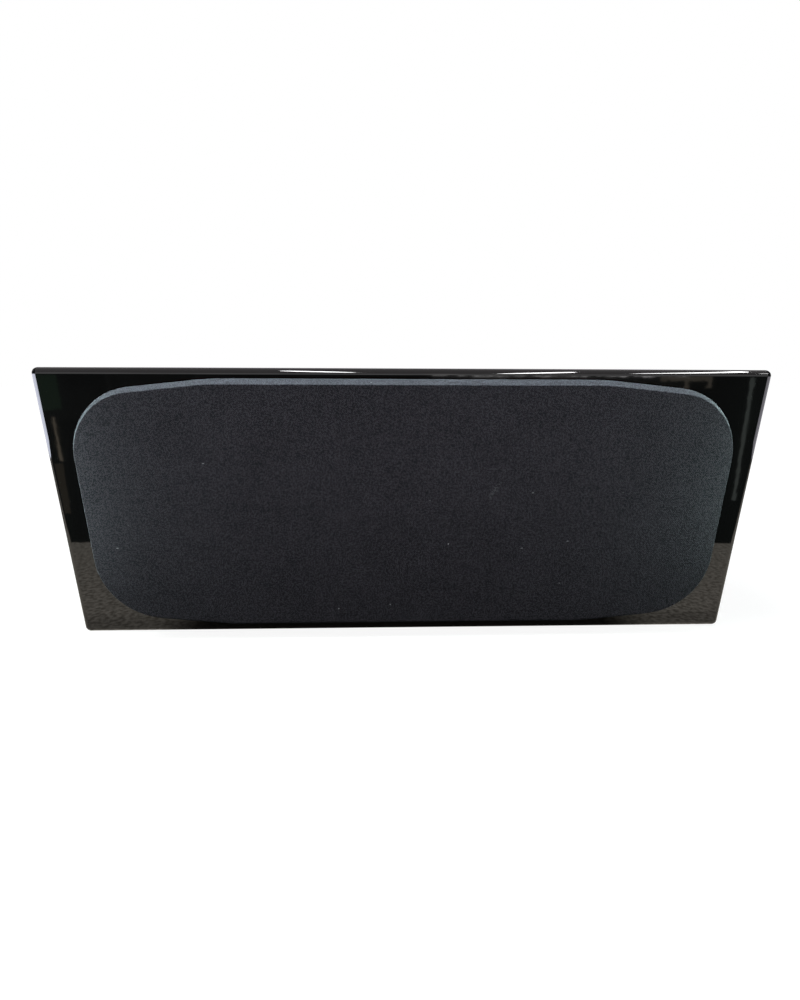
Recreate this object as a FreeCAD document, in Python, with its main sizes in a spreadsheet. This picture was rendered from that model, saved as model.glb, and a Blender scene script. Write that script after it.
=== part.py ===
import FreeCAD, Part
import math
import os

import Sketcher

# A lacquered three-way LCR loudspeaker lying on its long side, with a cloth grille over the whole baffle.
# The front faces -Y, +X is to the right as the listener sees it, +Z is up, and the origin is the
# middle of the underside. Every length is in millimetres.

SIZES = {
    # Cabinet boards
    "cabinet_width": 600,
    "cabinet_height": 234,
    "cabinet_depth": 290,
    "edge_radius": 5,
    "wall_thickness": 18,
    "baffle_thickness": 22,
    "rear_panel_thickness": 16,
    "rear_panel_recess": 2,
    "chamber_width": 118,
    "divider_thickness": 12,
    "lead_hole_radius": 7,
    "lead_hole_height": 60,
    "pad_thickness": 25,
    "pad_depth": 110,
    "pad_height": 150,
    "soft_gap": 0.3,
    # Grille outline, bevel and windows
    "grille_side_margin": 27,
    "grille_edge_margin": 10,
    "grille_rise": 2,
    "grille_flat": 318,
    "grille_end_drop": 11.6,
    "grille_corner_radius": 58,
    "grille_shoulder_radius": 180,
    "grille_depth": 15,
    "grille_bevel": 4,
    "grille_bevel_depth": 6.6,
    "cloth_thickness": 1,
    "cloth_gap": 0.1,
    "window_margin": 4,
    "centre_window_radius": 34,
    "peg_side_inset": 30,
    "peg_edge_inset": 15,
    "peg_inner_offset": 92,
    "peg_radius": 3,
    "peg_length": 10,
    "peg_root": 6,
    "socket_radius": 6,
    "socket_depth": 13,
    "socket_gap": 0.3,
    # What every driver shares
    "driver_flange": 6,
    "driver_seat_depth": 4.5,
    "driver_gap": 6,
    "rebate_gap": 0.4,
    "driver_hole_gap": 1,
    "gasket_thickness": 1,
    "coil_gap": 0.5,
    "former_wall": 0.5,
    "winding_thickness": 0.7,
    "screw_head_radius": 3.4,
    "screw_head_height": 2.2,
    "screw_radius": 1.8,
    "screw_length": 17,
    "screw_gap": 0.1,
    "screw_recess_radius": 1.6,
    "screw_recess_depth": 1.2,
    # Woofers
    "woofer_end_margin": 128,
    "woofer_frame_radius": 84,
    "woofer_seat_radius": 71,
    "woofer_opening_radius": 66,
    "woofer_basket_wall": 3,
    "woofer_basket_depth": 62,
    "woofer_base_radius": 46,
    "woofer_base_thickness": 4,
    "woofer_base_hole": 20,
    "woofer_shelf_radius": 45,
    "woofer_shelf_thickness": 3,
    "woofer_spider_depth": 36,
    "woofer_spider_wave": 1.6,
    "woofer_spoke_width": 12,
    "woofer_cone_radius": 55.5,
    "woofer_cone_lip": 3,
    "woofer_cone_thickness": 1.2,
    "woofer_neck_radius": 16,
    "woofer_neck_depth": 29,
    "woofer_cap_radius": 12.6,
    "woofer_cap_height": 5,
    "woofer_surround_thickness": 0.9,
    "woofer_roll_height": 3.5,
    "woofer_coil_radius": 13,
    "woofer_coil_length": 14,
    "woofer_plate_thickness": 6,
    "woofer_magnet_radius": 45,
    "woofer_magnet_hole": 24,
    "woofer_magnet_thickness": 16,
    "woofer_yoke_radius": 43,
    "woofer_yoke_thickness": 6,
    "woofer_vent_radius": 5,
    # Midrange
    "midrange_frame_radius": 46,
    "midrange_seat_radius": 35,
    "midrange_opening_radius": 31.5,
    "midrange_basket_wall": 2.5,
    "midrange_basket_depth": 38,
    "midrange_base_radius": 29,
    "midrange_base_thickness": 3,
    "midrange_base_hole": 15,
    "midrange_shelf_radius": 24.5,
    "midrange_shelf_thickness": 2,
    "midrange_spider_depth": 21,
    "midrange_spider_wave": 0.9,
    "midrange_spoke_width": 9,
    "midrange_cone_radius": 25.5,
    "midrange_cone_lip": 1.8,
    "midrange_cone_thickness": 0.9,
    "midrange_neck_radius": 11.8,
    "midrange_neck_depth": 14.5,
    "midrange_cap_radius": 9.1,
    "midrange_cap_height": 3.5,
    "midrange_surround_thickness": 0.7,
    "midrange_roll_height": 2.2,
    "midrange_coil_radius": 9.5,
    "midrange_coil_length": 8,
    "midrange_plate_thickness": 4,
    "midrange_magnet_radius": 28,
    "midrange_magnet_hole": 15,
    "midrange_magnet_thickness": 11,
    "midrange_yoke_radius": 26.5,
    "midrange_yoke_thickness": 4,
    "midrange_vent_radius": 3,
    # Tweeter
    "tweeter_radius": 36,
    "tweeter_mouth_radius": 28,
    "tweeter_throat_radius": 16.2,
    "tweeter_horn_radius": 30,
    "tweeter_throat_edge": 1,
    "tweeter_dome_radius": 12.5,
    "tweeter_dome_height": 5,
    "tweeter_dome_thickness": 0.5,
    "tweeter_roll_width": 3,
    "tweeter_roll_height": 1,
    "tweeter_dome_flange": 20,
    "tweeter_coil_length": 6,
    "tweeter_coil_thickness": 0.4,
    "tweeter_plate_radius": 25,
    "tweeter_plate_thickness": 4,
    "tweeter_magnet_radius": 24.5,
    "tweeter_magnet_hole": 15.5,
    "tweeter_magnet_thickness": 10,
    "tweeter_yoke_radius": 24,
    "tweeter_yoke_thickness": 4,
    "tweeter_pole_clearance": 0.6,
    "tweeter_vent_radius": 3,
    "tweeter_cup_radius": 20,
    "tweeter_cup_wall": 2,
    "tweeter_cup_depth": 16,
    # Reflex ports
    "port_end_margin": 112,
    "port_radius": 27,
    "port_wall": 3,
    "port_length": 120,
    "port_flange_radius": 47,
    "port_flare_radius": 12,
    "port_hole_gap": 0.5,
    # Terminal tray, posts and links
    "tray_width": 88,
    "tray_height": 104,
    "tray_flange": 3,
    "tray_corner_radius": 8,
    "tray_cup_width": 62,
    "tray_cup_height": 78,
    "tray_cup_depth": 24,
    "tray_wall": 3,
    "tray_cup_radius": 7,
    "tray_gap": 0.5,
    "tray_screw_inset": 6.5,
    "post_pitch": 19,
    "post_row_pitch": 36,
    "post_radius": 3,
    "post_bore_radius": 2,
    "post_bore_depth": 19,
    "post_length": 21,
    "post_collar_radius": 6,
    "post_collar_thickness": 2.5,
    "post_tail_length": 9,
    "post_nut_radius": 5,
    "post_nut_thickness": 3,
    "cap_radius": 6.6,
    "cap_length": 15,
    "cap_clearance": 0.08,
    "cap_flute_radius": 1.4,
    "cap_edge": 0.8,
    "link_thickness": 1,
    "link_width": 9,
    "link_gap": 0.15,
    # Crossover
    "board_width": 92,
    "board_depth": 150,
    "board_thickness": 1.6,
    "board_place": 20,
    "standoff_radius": 4,
    "standoff_height": 10,
    "standoff_inset": 8,
    "inductor_radius": 18,
    "inductor_bore": 8,
    "inductor_height": 15,
    "inductor_pitch": 44,
    "capacitor_radius": 9,
    "capacitor_length": 38,
    "capacitor_pitch": 24,
    "resistor_width": 10,
    "resistor_length": 40,
    "resistor_height": 9,
    "resistor_pitch": 16,
}

WOOFER_SPOKES = 6
WOOFER_SCREWS = 6
MIDRANGE_SPOKES = 4
MIDRANGE_SCREWS = 4
TWEETER_SCREWS = 4
SPIDER_WAVES = 3
CAP_FLUTES = 12
INDUCTORS = 3
CAPACITORS = 4
RESISTORS = 2
NEAR = 1e-4
SIDES = {"left": -1, "right": 1}

document = FreeCAD.newDocument("lcr_speaker")
sheet = document.addObject("Spreadsheet::Sheet", "Sizes")
for row, (alias, size) in enumerate(SIZES.items(), start=1):
    sheet.set(f"A{row}", alias)
    sheet.set(f"B{row}", str(size))
    sheet.setAlias(f"B{row}", alias)
document.recompute()


class Length:
    """A length that knows both its present value and the sheet expression that gives it."""

    def __init__(self, value, text):
        self.value = float(value)
        self.text = text

    @staticmethod
    def of(other):
        """Return other as a Length, so that plain factors can stand in expressions."""
        if isinstance(other, Length):
            return other
        return Length(other, repr(float(other)))

    def _join(self, other, sign, value):
        return Length(value, f"({self.text} {sign} {other.text})")

    def __add__(self, other):
        other = Length.of(other)
        return self._join(other, "+", self.value + other.value)

    def __radd__(self, other):
        return Length.of(other) + self

    def __sub__(self, other):
        other = Length.of(other)
        return self._join(other, "-", self.value - other.value)

    def __rsub__(self, other):
        return Length.of(other) - self

    def __mul__(self, other):
        other = Length.of(other)
        return self._join(other, "*", self.value * other.value)

    def __rmul__(self, other):
        return Length.of(other) * self

    def __truediv__(self, other):
        other = Length.of(other)
        return self._join(other, "/", self.value / other.value)

    def __neg__(self):
        return Length.of(0) - self

    def root(self):
        """Return the square root of this length's value."""
        return Length(math.sqrt(self.value), f"sqrt({self.text})")


def size(alias):
    """Return a cell of the sheet as a Length."""
    return Length(sheet.get(alias), f"Sizes.{alias}")


def bind(thing, name, length):
    """Tie a property of a document object to the sheet."""
    thing.setExpression(name, Length.of(length).text)


def vector(x=0.0, y=0.0, z=0.0):
    """Return a FreeCAD vector from lengths or numbers."""
    return FreeCAD.Vector(*(Length.of(part).value for part in (x, y, z)))


pieces = []


def place(piece, x=0, y=0, z=0):
    """Tie a piece's position to the sheet."""
    for axis, length in zip("xyz", (x, y, z)):
        bind(piece, f"Placement.Base.{axis}", length)


def new_body(label):
    """Start the body of one sub-part."""
    body = document.addObject("PartDesign::Body", label)
    body.Label = label
    pieces.append(body)
    return body


def new_sketch(body, name, role, offset=None):
    """Start a sketch on one of the body's own planes, moved along that plane's normal by offset."""
    sketch = body.newObject("Sketcher::SketchObject", f"{body.Name}_{name}")
    plane = next(item for item in body.Origin.OriginFeatures if item.Role == role)
    sketch.AttachmentSupport = [(plane, "")]
    sketch.MapMode = "FlatFace"
    if offset is not None:
        bind(sketch, "AttachmentOffset.Base.z", offset)
    return sketch


def hold(sketch, kind, geometry, point, length):
    """Constrain one coordinate of a sketch point to the sheet."""
    length = Length.of(length)
    index = sketch.addConstraint(Sketcher.Constraint(kind, geometry, point, length.value))
    sketch.setExpression(f"Constraints[{index}]", length.text)


def hold_radius(sketch, geometry, length):
    """Constrain a radius in a sketch to the sheet."""
    index = sketch.addConstraint(Sketcher.Constraint("Radius", geometry, length.value))
    sketch.setExpression(f"Constraints[{index}]", length.text)


def arc_between(start, end, radius, turn):
    """Return the arc from start to end of the given radius, counter-clockwise where turn is 1.

    The arc is the shorter of the two. Sketch arcs always run counter-clockwise.
    """
    chord = end - start
    half = chord.Length / 2
    rise = math.sqrt(max(radius * radius - half * half, 0.0))
    side = FreeCAD.Vector(-chord.y, chord.x, 0).normalize()
    centre = start + chord * 0.5 + side * (rise * turn)
    first, last = (start, end) if turn > 0 else (end, start)
    begin = math.atan2(first.y - centre.y, first.x - centre.x)
    finish = math.atan2(last.y - centre.y, last.x - centre.x)
    circle = Part.Circle(centre, FreeCAD.Vector(0, 0, 1), radius)
    return Part.ArcOfCircle(circle, begin, finish)


def draw_outline(sketch, points):
    """Draw a closed outline through points of lengths (x, y).

    A point may carry two more items, a radius and a turn: the run that leaves it is then an arc.
    """
    first = sketch.GeometryCount
    count = len(points)
    starts = []
    ends = []
    for number, point in enumerate(points):
        after = points[(number + 1) % count]
        begin = vector(*point[:2])
        end = vector(*after[:2])
        if len(point) == 2:
            geometry = Part.LineSegment(begin, end)
            turn = 1
        else:
            turn = point[3]
            geometry = arc_between(begin, end, Length.of(point[2]).value, turn)
        index = sketch.addGeometry(geometry, False)
        starts.append((index, 1 if turn > 0 else 2))
        ends.append((index, 2 if turn > 0 else 1))
    for number in range(count):
        meeting = (*ends[number], *starts[(number + 1) % count])
        sketch.addConstraint(Sketcher.Constraint("Coincident", *meeting))
    for number, point in enumerate(points):
        hold(sketch, "DistanceX", *starts[number], point[0])
        hold(sketch, "DistanceY", *starts[number], point[1])
        if len(point) > 2:
            hold_radius(sketch, first + number, point[2])


def draw_circle(sketch, x, y, radius):
    """Draw a circle whose centre and radius follow the sheet."""
    circle = Part.Circle(vector(x, y), FreeCAD.Vector(0, 0, 1), Length.of(radius).value)
    index = sketch.addGeometry(circle, False)
    hold(sketch, "DistanceX", index, 3, x)
    hold(sketch, "DistanceY", index, 3, y)
    hold_radius(sketch, index, radius)


def draw_box(sketch, width, height, x=0, y=0):
    """Draw a rectangle centred on x, y."""
    half_width = width / 2
    half_height = height / 2
    left = x - half_width
    right = x + half_width
    low = y - half_height
    high = y + half_height
    draw_outline(sketch, [(left, low), (right, low), (right, high), (left, high)])


def draw_rounded_box(sketch, width, height, corner):
    """Draw a rectangle with round corners, centred on the sketch's origin."""
    half_width = width / 2
    half_height = height / 2
    draw_outline(sketch, [
        (corner - half_width, -half_height),
        (half_width - corner, -half_height, corner, 1),
        (half_width, corner - half_height),
        (half_width, half_height - corner, corner, 1),
        (half_width - corner, half_height),
        (corner - half_width, half_height, corner, 1),
        (-half_width, half_height - corner),
        (-half_width, corner - half_height, corner, 1),
    ])


def feature(body, kind, sketch):
    """Add a sketch-based feature to a body."""
    made = body.newObject(f"PartDesign::{kind}", f"{sketch.Name}_{kind.lower()}")
    made.Profile = sketch
    sketch.Visibility = False
    return made


def pad(body, sketch, length, reverse=False):
    """Raise a sketch along its normal."""
    made = feature(body, "Pad", sketch)
    made.Reversed = reverse
    bind(made, "Length", length)
    document.recompute()
    return made


def pocket(body, sketch, length, reverse=False):
    """Cut a sketch against its normal and make sure that the cut took material away."""
    before = body.Shape.Volume
    made = feature(body, "Pocket", sketch)
    made.Reversed = reverse
    bind(made, "Length", length)
    document.recompute()
    if body.Shape.Volume >= before:
        raise RuntimeError(f"{made.Name} cuts nothing")
    return made


def revolve(body, sketch):
    """Turn a sketch through a whole circle about its own vertical axis."""
    made = feature(body, "Revolution", sketch)
    made.ReferenceAxis = (sketch, ["V_Axis"])
    document.recompute()
    return made


def polar(body, original, role, count):
    """Repeat a feature evenly round one of the body's axes."""
    before = body.Shape.Volume
    axis = next(item for item in body.Origin.OriginFeatures if item.Role == role)
    made = body.newObject("PartDesign::PolarPattern", f"{original.Name}_pattern")
    made.Originals = [original]
    made.Axis = (axis, [""])
    made.Occurrences = count
    body.Tip = made
    document.recompute()
    if body.Shape.Volume == before:
        raise RuntimeError(f"{made.Name} repeats nothing")
    return made


def dress(body, kind, value_name, length, wanted):
    """Fillet or chamfer the edges of the body's tip that the test picks out."""
    base = body.Tip
    names = []
    for number, edge in enumerate(base.Shape.Edges, start=1):
        if wanted(edge):
            names.append(f"Edge{number}")
    if not names:
        raise RuntimeError(f"{body.Name} has no edge for its {kind}")
    made = body.newObject(f"PartDesign::{kind}", f"{base.Name}_{kind.lower()}")
    made.Base = (base, names)
    bind(made, value_name, length)
    base.Visibility = False
    document.recompute()
    return made


def fillet(body, radius, wanted):
    """Round the chosen edges."""
    return dress(body, "Fillet", "Radius", radius, wanted)


def chamfer(body, leg, wanted):
    """Bevel the chosen edges evenly."""
    return dress(body, "Chamfer", "Size", leg, wanted)


def slant(body, deep, across, wanted):
    """Bevel the chosen edges of a raised block, deep down its sides and across its face."""
    made = chamfer(body, deep, wanted)
    made.ChamferType = "Two distances"
    bind(made, "Size2", across)
    document.recompute()
    return made


def along(axis):
    """Return a test for straight edges that run along a unit axis."""

    def test(edge):
        if not isinstance(edge.Curve, Part.Line):
            return False
        return abs(abs(edge.Curve.Direction.dot(axis)) - 1) < NEAR

    return test


def in_plane(axis, distance):
    """Return a test for edges that lie wholly in the plane at a distance along an axis."""

    def test(edge):
        middle = (edge.FirstParameter + edge.LastParameter) / 2
        stations = (edge.FirstParameter, middle, edge.LastParameter)
        heights = [edge.valueAt(station).dot(axis) for station in stations]
        return all(abs(height - Length.of(distance).value) < NEAR for height in heights)

    return test


X_AXIS = FreeCAD.Vector(1, 0, 0)
Y_AXIS = FreeCAD.Vector(0, 1, 0)
Z_AXIS = FreeCAD.Vector(0, 0, 1)

# Planes and centres that several pieces share
front_y = -size("cabinet_depth") / 2
rear_y = size("cabinet_depth") / 2
middle_z = size("cabinet_height") / 2
inner_width = size("cabinet_width") - 2 * size("wall_thickness")
inner_height = size("cabinet_height") - 2 * size("wall_thickness")
chamber_front_y = front_y + size("baffle_thickness")
panel_outer_y = rear_y - size("rear_panel_recess")
panel_inner_y = panel_outer_y - size("rear_panel_thickness")
floor_z = size("wall_thickness")
driver_z = middle_z + size("grille_rise")
woofer_x = size("cabinet_width") / 2 - size("woofer_end_margin")
stack_height = 2 * (size("tweeter_radius") + size("midrange_frame_radius")) + size("driver_gap")
tweeter_z = driver_z + stack_height / 2 - size("tweeter_radius")
midrange_z = driver_z - stack_height / 2 + size("midrange_frame_radius")
rebate_depth = size("driver_flange") + size("gasket_thickness")
port_x = size("cabinet_width") / 2 - size("port_end_margin")


def driver_hole(kind):
    """Return the radius of the hole through the baffle for a kind of driver."""
    if kind == "tweeter":
        return size("tweeter_plate_radius") + size("driver_hole_gap")
    top = size(f"{kind}_seat_radius") + size(f"{kind}_basket_wall")
    return top + size("driver_hole_gap")


def frame_radius(kind):
    """Return the outer radius of a driver's flange."""
    if kind == "tweeter":
        return size("tweeter_radius")
    return size(f"{kind}_frame_radius")


def screw_circle(kind):
    """Return the radius of a driver's screw circle, midway across its seat in the baffle."""
    return (driver_hole(kind) + frame_radius(kind)) / 2


DRIVERS = [
    ("woofer", -woofer_x, driver_z, WOOFER_SCREWS),
    ("woofer", woofer_x, driver_z, WOOFER_SCREWS),
    ("midrange", Length.of(0), midrange_z, MIDRANGE_SCREWS),
    ("tweeter", Length.of(0), tweeter_z, TWEETER_SCREWS),
]


def screw_angles(count):
    """Return the angles of a ring of screws, with none straight above the centre."""
    return [math.pi * (2 * number + 1) / count for number in range(count)]


def screw_points():
    """Return the x and z of every driver screw."""
    points = []
    for kind, x, z, count in DRIVERS:
        circle = screw_circle(kind)
        for angle in screw_angles(count):
            points.append((x + circle * math.sin(angle), z + circle * math.cos(angle)))
    return points


# Grille outline, which the cloth and its frame share
grille_half_width = size("cabinet_width") / 2 - size("grille_side_margin")
grille_half_height = size("cabinet_height") / 2 - size("grille_edge_margin")
shoulder_run = grille_half_width - size("grille_flat") / 2
shoulder_length = (shoulder_run * shoulder_run + size("grille_end_drop") * size("grille_end_drop")).root()
grille_end_half = grille_half_height - size("grille_end_drop")


def peg_points():
    """Return the x and z of the grille pegs: four at the ends and four beside the centre window."""
    end_x = grille_half_width - size("peg_side_inset")
    end_z = grille_end_half - size("peg_edge_inset")
    inner_z = grille_half_height - size("peg_edge_inset")
    points = []
    for side in SIDES.values():
        for level in (-1, 1):
            points.append((side * end_x, driver_z + level * end_z))
            points.append((side * size("peg_inner_offset"), driver_z + level * inner_z))
    return points


def draw_grille_outline(sketch, inset):
    """Draw the grille's eight-sided outline with rounded corners: level in the middle, falling to both ends.

    The fall keeps its slope under an inset, so the corners move along their own bisectors.
    """
    lean = (shoulder_length - shoulder_run) / size("grille_end_drop")
    flat = size("grille_flat") / 2 - inset * lean
    end_x = grille_half_width - inset
    top = grille_half_height - inset
    slope = size("grille_end_drop") / shoulder_run
    end_z = top - (end_x - flat) * slope
    # Each rounding starts and ends where its arc touches the two sides that it joins
    shoulder_radius = size("grille_shoulder_radius") - inset
    corner_radius = size("grille_corner_radius") - inset
    shoulder_reach = shoulder_radius * lean
    corner_reach = corner_radius * (shoulder_length - size("grille_end_drop")) / shoulder_run
    level = shoulder_run / shoulder_length
    shoulder_out = flat + shoulder_reach * level
    shoulder_low = top - shoulder_reach * level * slope
    corner_in = end_x - corner_reach * level
    corner_high = end_z + corner_reach * level * slope
    corner_low = end_z - corner_reach
    flat_end = flat - shoulder_reach
    draw_outline(sketch, [
        (-flat_end, -top), (flat_end, -top, shoulder_radius, 1),
        (shoulder_out, -shoulder_low), (corner_in, -corner_high, corner_radius, 1),
        (end_x, -corner_low), (end_x, corner_low, corner_radius, 1),
        (corner_in, corner_high), (shoulder_out, shoulder_low, shoulder_radius, 1),
        (flat_end, top), (-flat_end, top, shoulder_radius, 1),
        (-shoulder_out, shoulder_low), (-corner_in, corner_high, corner_radius, 1),
        (-end_x, corner_low), (-end_x, -corner_low, corner_radius, 1),
        (-corner_in, -corner_high), (-shoulder_out, -shoulder_low, shoulder_radius, 1),
    ])


def grille_blank(body, inset, depth, deep, across):
    """Make the grille's rounded, bevelled block standing on the baffle plane."""
    sketch = new_sketch(body, "outline", "XZ_Plane")
    draw_grille_outline(sketch, inset)
    pad(body, sketch, depth)
    slant(body, deep, across, in_plane(Y_AXIS, -depth))


def make_cabinet_shell():
    """Make the lacquered carcass with its baffle, bored for drivers, screws and grille sockets."""
    body = new_body("cabinet_shell")
    plan = new_sketch(body, "plan", "XY_Plane")
    draw_box(plan, size("cabinet_width"), size("cabinet_depth"))
    pad(body, plan, size("cabinet_height"))
    fillet(body, size("edge_radius"), lambda edge: True)
    cavity = new_sketch(body, "cavity", "XZ_Plane", -rear_y)
    draw_box(cavity, inner_width, inner_height, 0, middle_z)
    pocket(body, cavity, size("cabinet_depth") - size("baffle_thickness"), reverse=True)
    rebates = new_sketch(body, "rebates", "XZ_Plane", -front_y)
    openings = new_sketch(body, "openings", "XZ_Plane", -front_y)
    for kind, x, z, _ in DRIVERS:
        draw_circle(rebates, x, z, frame_radius(kind) + size("rebate_gap"))
        draw_circle(openings, x, z, driver_hole(kind))
    pocket(body, rebates, rebate_depth)
    pocket(body, openings, size("baffle_thickness"))
    pilots = new_sketch(body, "pilots", "XZ_Plane", -front_y)
    for x, z in screw_points():
        draw_circle(pilots, x, z, size("screw_radius"))
    pocket(body, pilots, size("screw_head_height") + size("screw_length"))
    sockets = new_sketch(body, "sockets", "XZ_Plane", -front_y)
    for x, z in peg_points():
        draw_circle(sockets, x, z, size("socket_radius"))
    pocket(body, sockets, size("socket_depth"))


def tray_screw_points():
    """Return the x and z of the four terminal tray screws."""
    x = size("tray_width") / 2 - size("tray_screw_inset")
    z = size("tray_height") / 2 - size("tray_screw_inset")
    return [(side * x, middle_z + level * z) for side in SIDES.values() for level in (-1, 1)]


def make_rear_panel():
    """Make the inset back board with its port holes, tray cut-out and pilot holes."""
    body = new_body("rear_panel")
    board = new_sketch(body, "board", "XZ_Plane", -panel_outer_y)
    draw_box(board, inner_width, inner_height, 0, middle_z)
    pad(body, board, size("rear_panel_thickness"))
    holes = new_sketch(body, "holes", "XZ_Plane", -panel_outer_y)
    for side in SIDES.values():
        radius = size("port_radius") + size("port_flare_radius") + size("port_hole_gap")
        draw_circle(holes, side * port_x, middle_z, radius)
    width = size("tray_cup_width") + 2 * size("tray_gap")
    height = size("tray_cup_height") + 2 * size("tray_gap")
    draw_box(holes, width, height, 0, middle_z)
    for x, z in tray_screw_points():
        draw_circle(holes, x, z, size("screw_radius"))
    pocket(body, holes, size("rear_panel_thickness"), reverse=True)


def make_dividers():
    """Make the two boards that part the centre chamber from the woofer chambers."""
    for name, side in SIDES.items():
        body = new_body(f"divider_{name}")
        inner_x = size("chamber_width") / 2
        outer_x = inner_x + size("divider_thickness")
        near_x = inner_x if side > 0 else -outer_x
        board = new_sketch(body, "board", "YZ_Plane", near_x)
        depth = panel_inner_y - chamber_front_y
        draw_box(board, depth, inner_height, (panel_inner_y + chamber_front_y) / 2, middle_z)
        pad(body, board, size("divider_thickness"))
        hole = new_sketch(body, "lead_hole", "YZ_Plane", near_x)
        draw_circle(hole, 0, floor_z + size("lead_hole_height"), size("lead_hole_radius"))
        pocket(body, hole, size("divider_thickness"), reverse=True)


def make_damping_pads():
    """Make the soft pads on the end walls."""
    for name, side in SIDES.items():
        body = new_body(f"damping_pad_{name}")
        sketch = new_sketch(body, "block", "YZ_Plane")
        height = size("pad_height")
        draw_box(sketch, size("pad_depth"), height, 0, floor_z + size("soft_gap") + height / 2)
        pad(body, sketch, size("pad_thickness"))
        wall_x = inner_width / 2 - size("soft_gap")
        near_x = wall_x - size("pad_thickness") if side > 0 else -wall_x
        centre_y = panel_inner_y - size("soft_gap") - size("pad_depth") / 2
        place(body, near_x, centre_y)


def make_ports():
    """Make the flared reflex tubes that open in the rear panel."""
    radius = size("port_radius")
    wall = size("port_wall")
    flare = size("port_flare_radius")
    for name, side in SIDES.items():
        body = new_body(f"port_tube_{name}")
        profile = new_sketch(body, "profile", "XY_Plane")
        draw_outline(profile, [
            (radius, -size("port_length")),
            (radius + wall, -size("port_length")),
            (radius + wall, wall - flare, flare - wall, -1),
            (radius + flare, Length.of(0)),
            (size("port_flange_radius"), Length.of(0)),
            (size("port_flange_radius"), wall),
            (radius + flare, wall, flare, 1),
            (radius, wall - flare),
        ])
        revolve(body, profile)
        place(body, side * port_x, panel_outer_y, middle_z)


def make_grille():
    """Make the frame board, the cloth stretched over it, the pegs and their rubber sockets."""
    cloth = new_body("grille_cloth")
    deep = size("grille_bevel_depth")
    across = size("grille_bevel")
    grille_blank(cloth, Length.of(0), size("grille_depth"), deep, across)
    tip = cloth.Tip
    back = next(
        f"Face{number}" for number, face in enumerate(tip.Shape.Faces, start=1)
        if abs(face.CenterOfMass.y) < NEAR and abs(abs(face.normalAt(0, 0).y) - 1) < NEAR
    )
    skin = cloth.newObject("PartDesign::Thickness", "grille_cloth_skin")
    skin.Base = (tip, [back])
    skin.Reversed = True
    bind(skin, "Value", size("cloth_thickness"))
    tip.Visibility = False
    document.recompute()
    place(cloth, 0, front_y, driver_z)

    frame = new_body("grille_frame")
    inset = size("cloth_thickness") + size("cloth_gap")
    depth = size("grille_depth") - size("cloth_thickness")
    # The board's bevel lies one cloth thickness under the cloth's own, so both its legs are shorter
    lost = size("cloth_thickness") * (deep + across - (deep * deep + across * across).root())
    grille_blank(frame, inset, depth, deep - lost / across, across - lost / deep)
    windows = new_sketch(frame, "windows", "XZ_Plane", depth)
    for side in SIDES.values():
        radius = size("woofer_frame_radius") + size("window_margin")
        draw_circle(windows, side * woofer_x, 0, radius)
    width = 2 * (size("midrange_frame_radius") + size("window_margin"))
    height = stack_height + 2 * size("window_margin")
    draw_rounded_box(windows, width, height, size("centre_window_radius"))
    pocket(frame, windows, depth)
    roots = new_sketch(frame, "peg_roots", "XZ_Plane")
    for x, z in peg_points():
        draw_circle(roots, x, z - driver_z, size("peg_radius"))
    pocket(frame, roots, size("peg_root"), reverse=True)
    place(frame, 0, front_y, driver_z)

    pegs = []
    sockets = []
    for number, (x, z) in enumerate(peg_points(), start=1):
        peg = add_cylinder(f"peg_{number}", size("peg_radius"), size("peg_root") + size("peg_length"))
        stand(peg, x, front_y - size("peg_root"), z)
        pegs.append(peg)
        outer = add_cylinder(f"socket_{number}", size("socket_radius"), size("socket_depth"))
        stand(outer, x, front_y, z)
        bore = size("peg_radius") + size("socket_gap")
        inner = add_cylinder(f"socket_bore_{number}", bore, size("peg_length") + size("socket_gap"))
        stand(inner, x, front_y, z)
        sockets.append(add_cut(f"socket_cup_{number}", outer, inner))
    add_group("grille_pegs", pegs)
    add_group("grille_sockets", sockets)


def add_cylinder(name, radius, height):
    """Add a cylinder whose sizes follow the sheet."""
    cylinder = document.addObject("Part::Cylinder", name)
    bind(cylinder, "Radius", radius)
    bind(cylinder, "Height", height)
    return cylinder


def stand(solid, x, y, z):
    """Turn an upright primitive to point along +Y and put its foot at x, y, z."""
    solid.Placement.Rotation = FreeCAD.Rotation(X_AXIS, -90)
    place(solid, x, y, z)


def add_cut(name, base, tool):
    """Add the difference of two solids."""
    cut = document.addObject("Part::Cut", name)
    cut.Base = base
    cut.Tool = tool
    return cut


def add_group(label, links):
    """Add one sub-part made of several separate solids."""
    group = document.addObject("Part::Compound", label)
    group.Label = label
    group.Links = links
    pieces.append(group)
    return group


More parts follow.
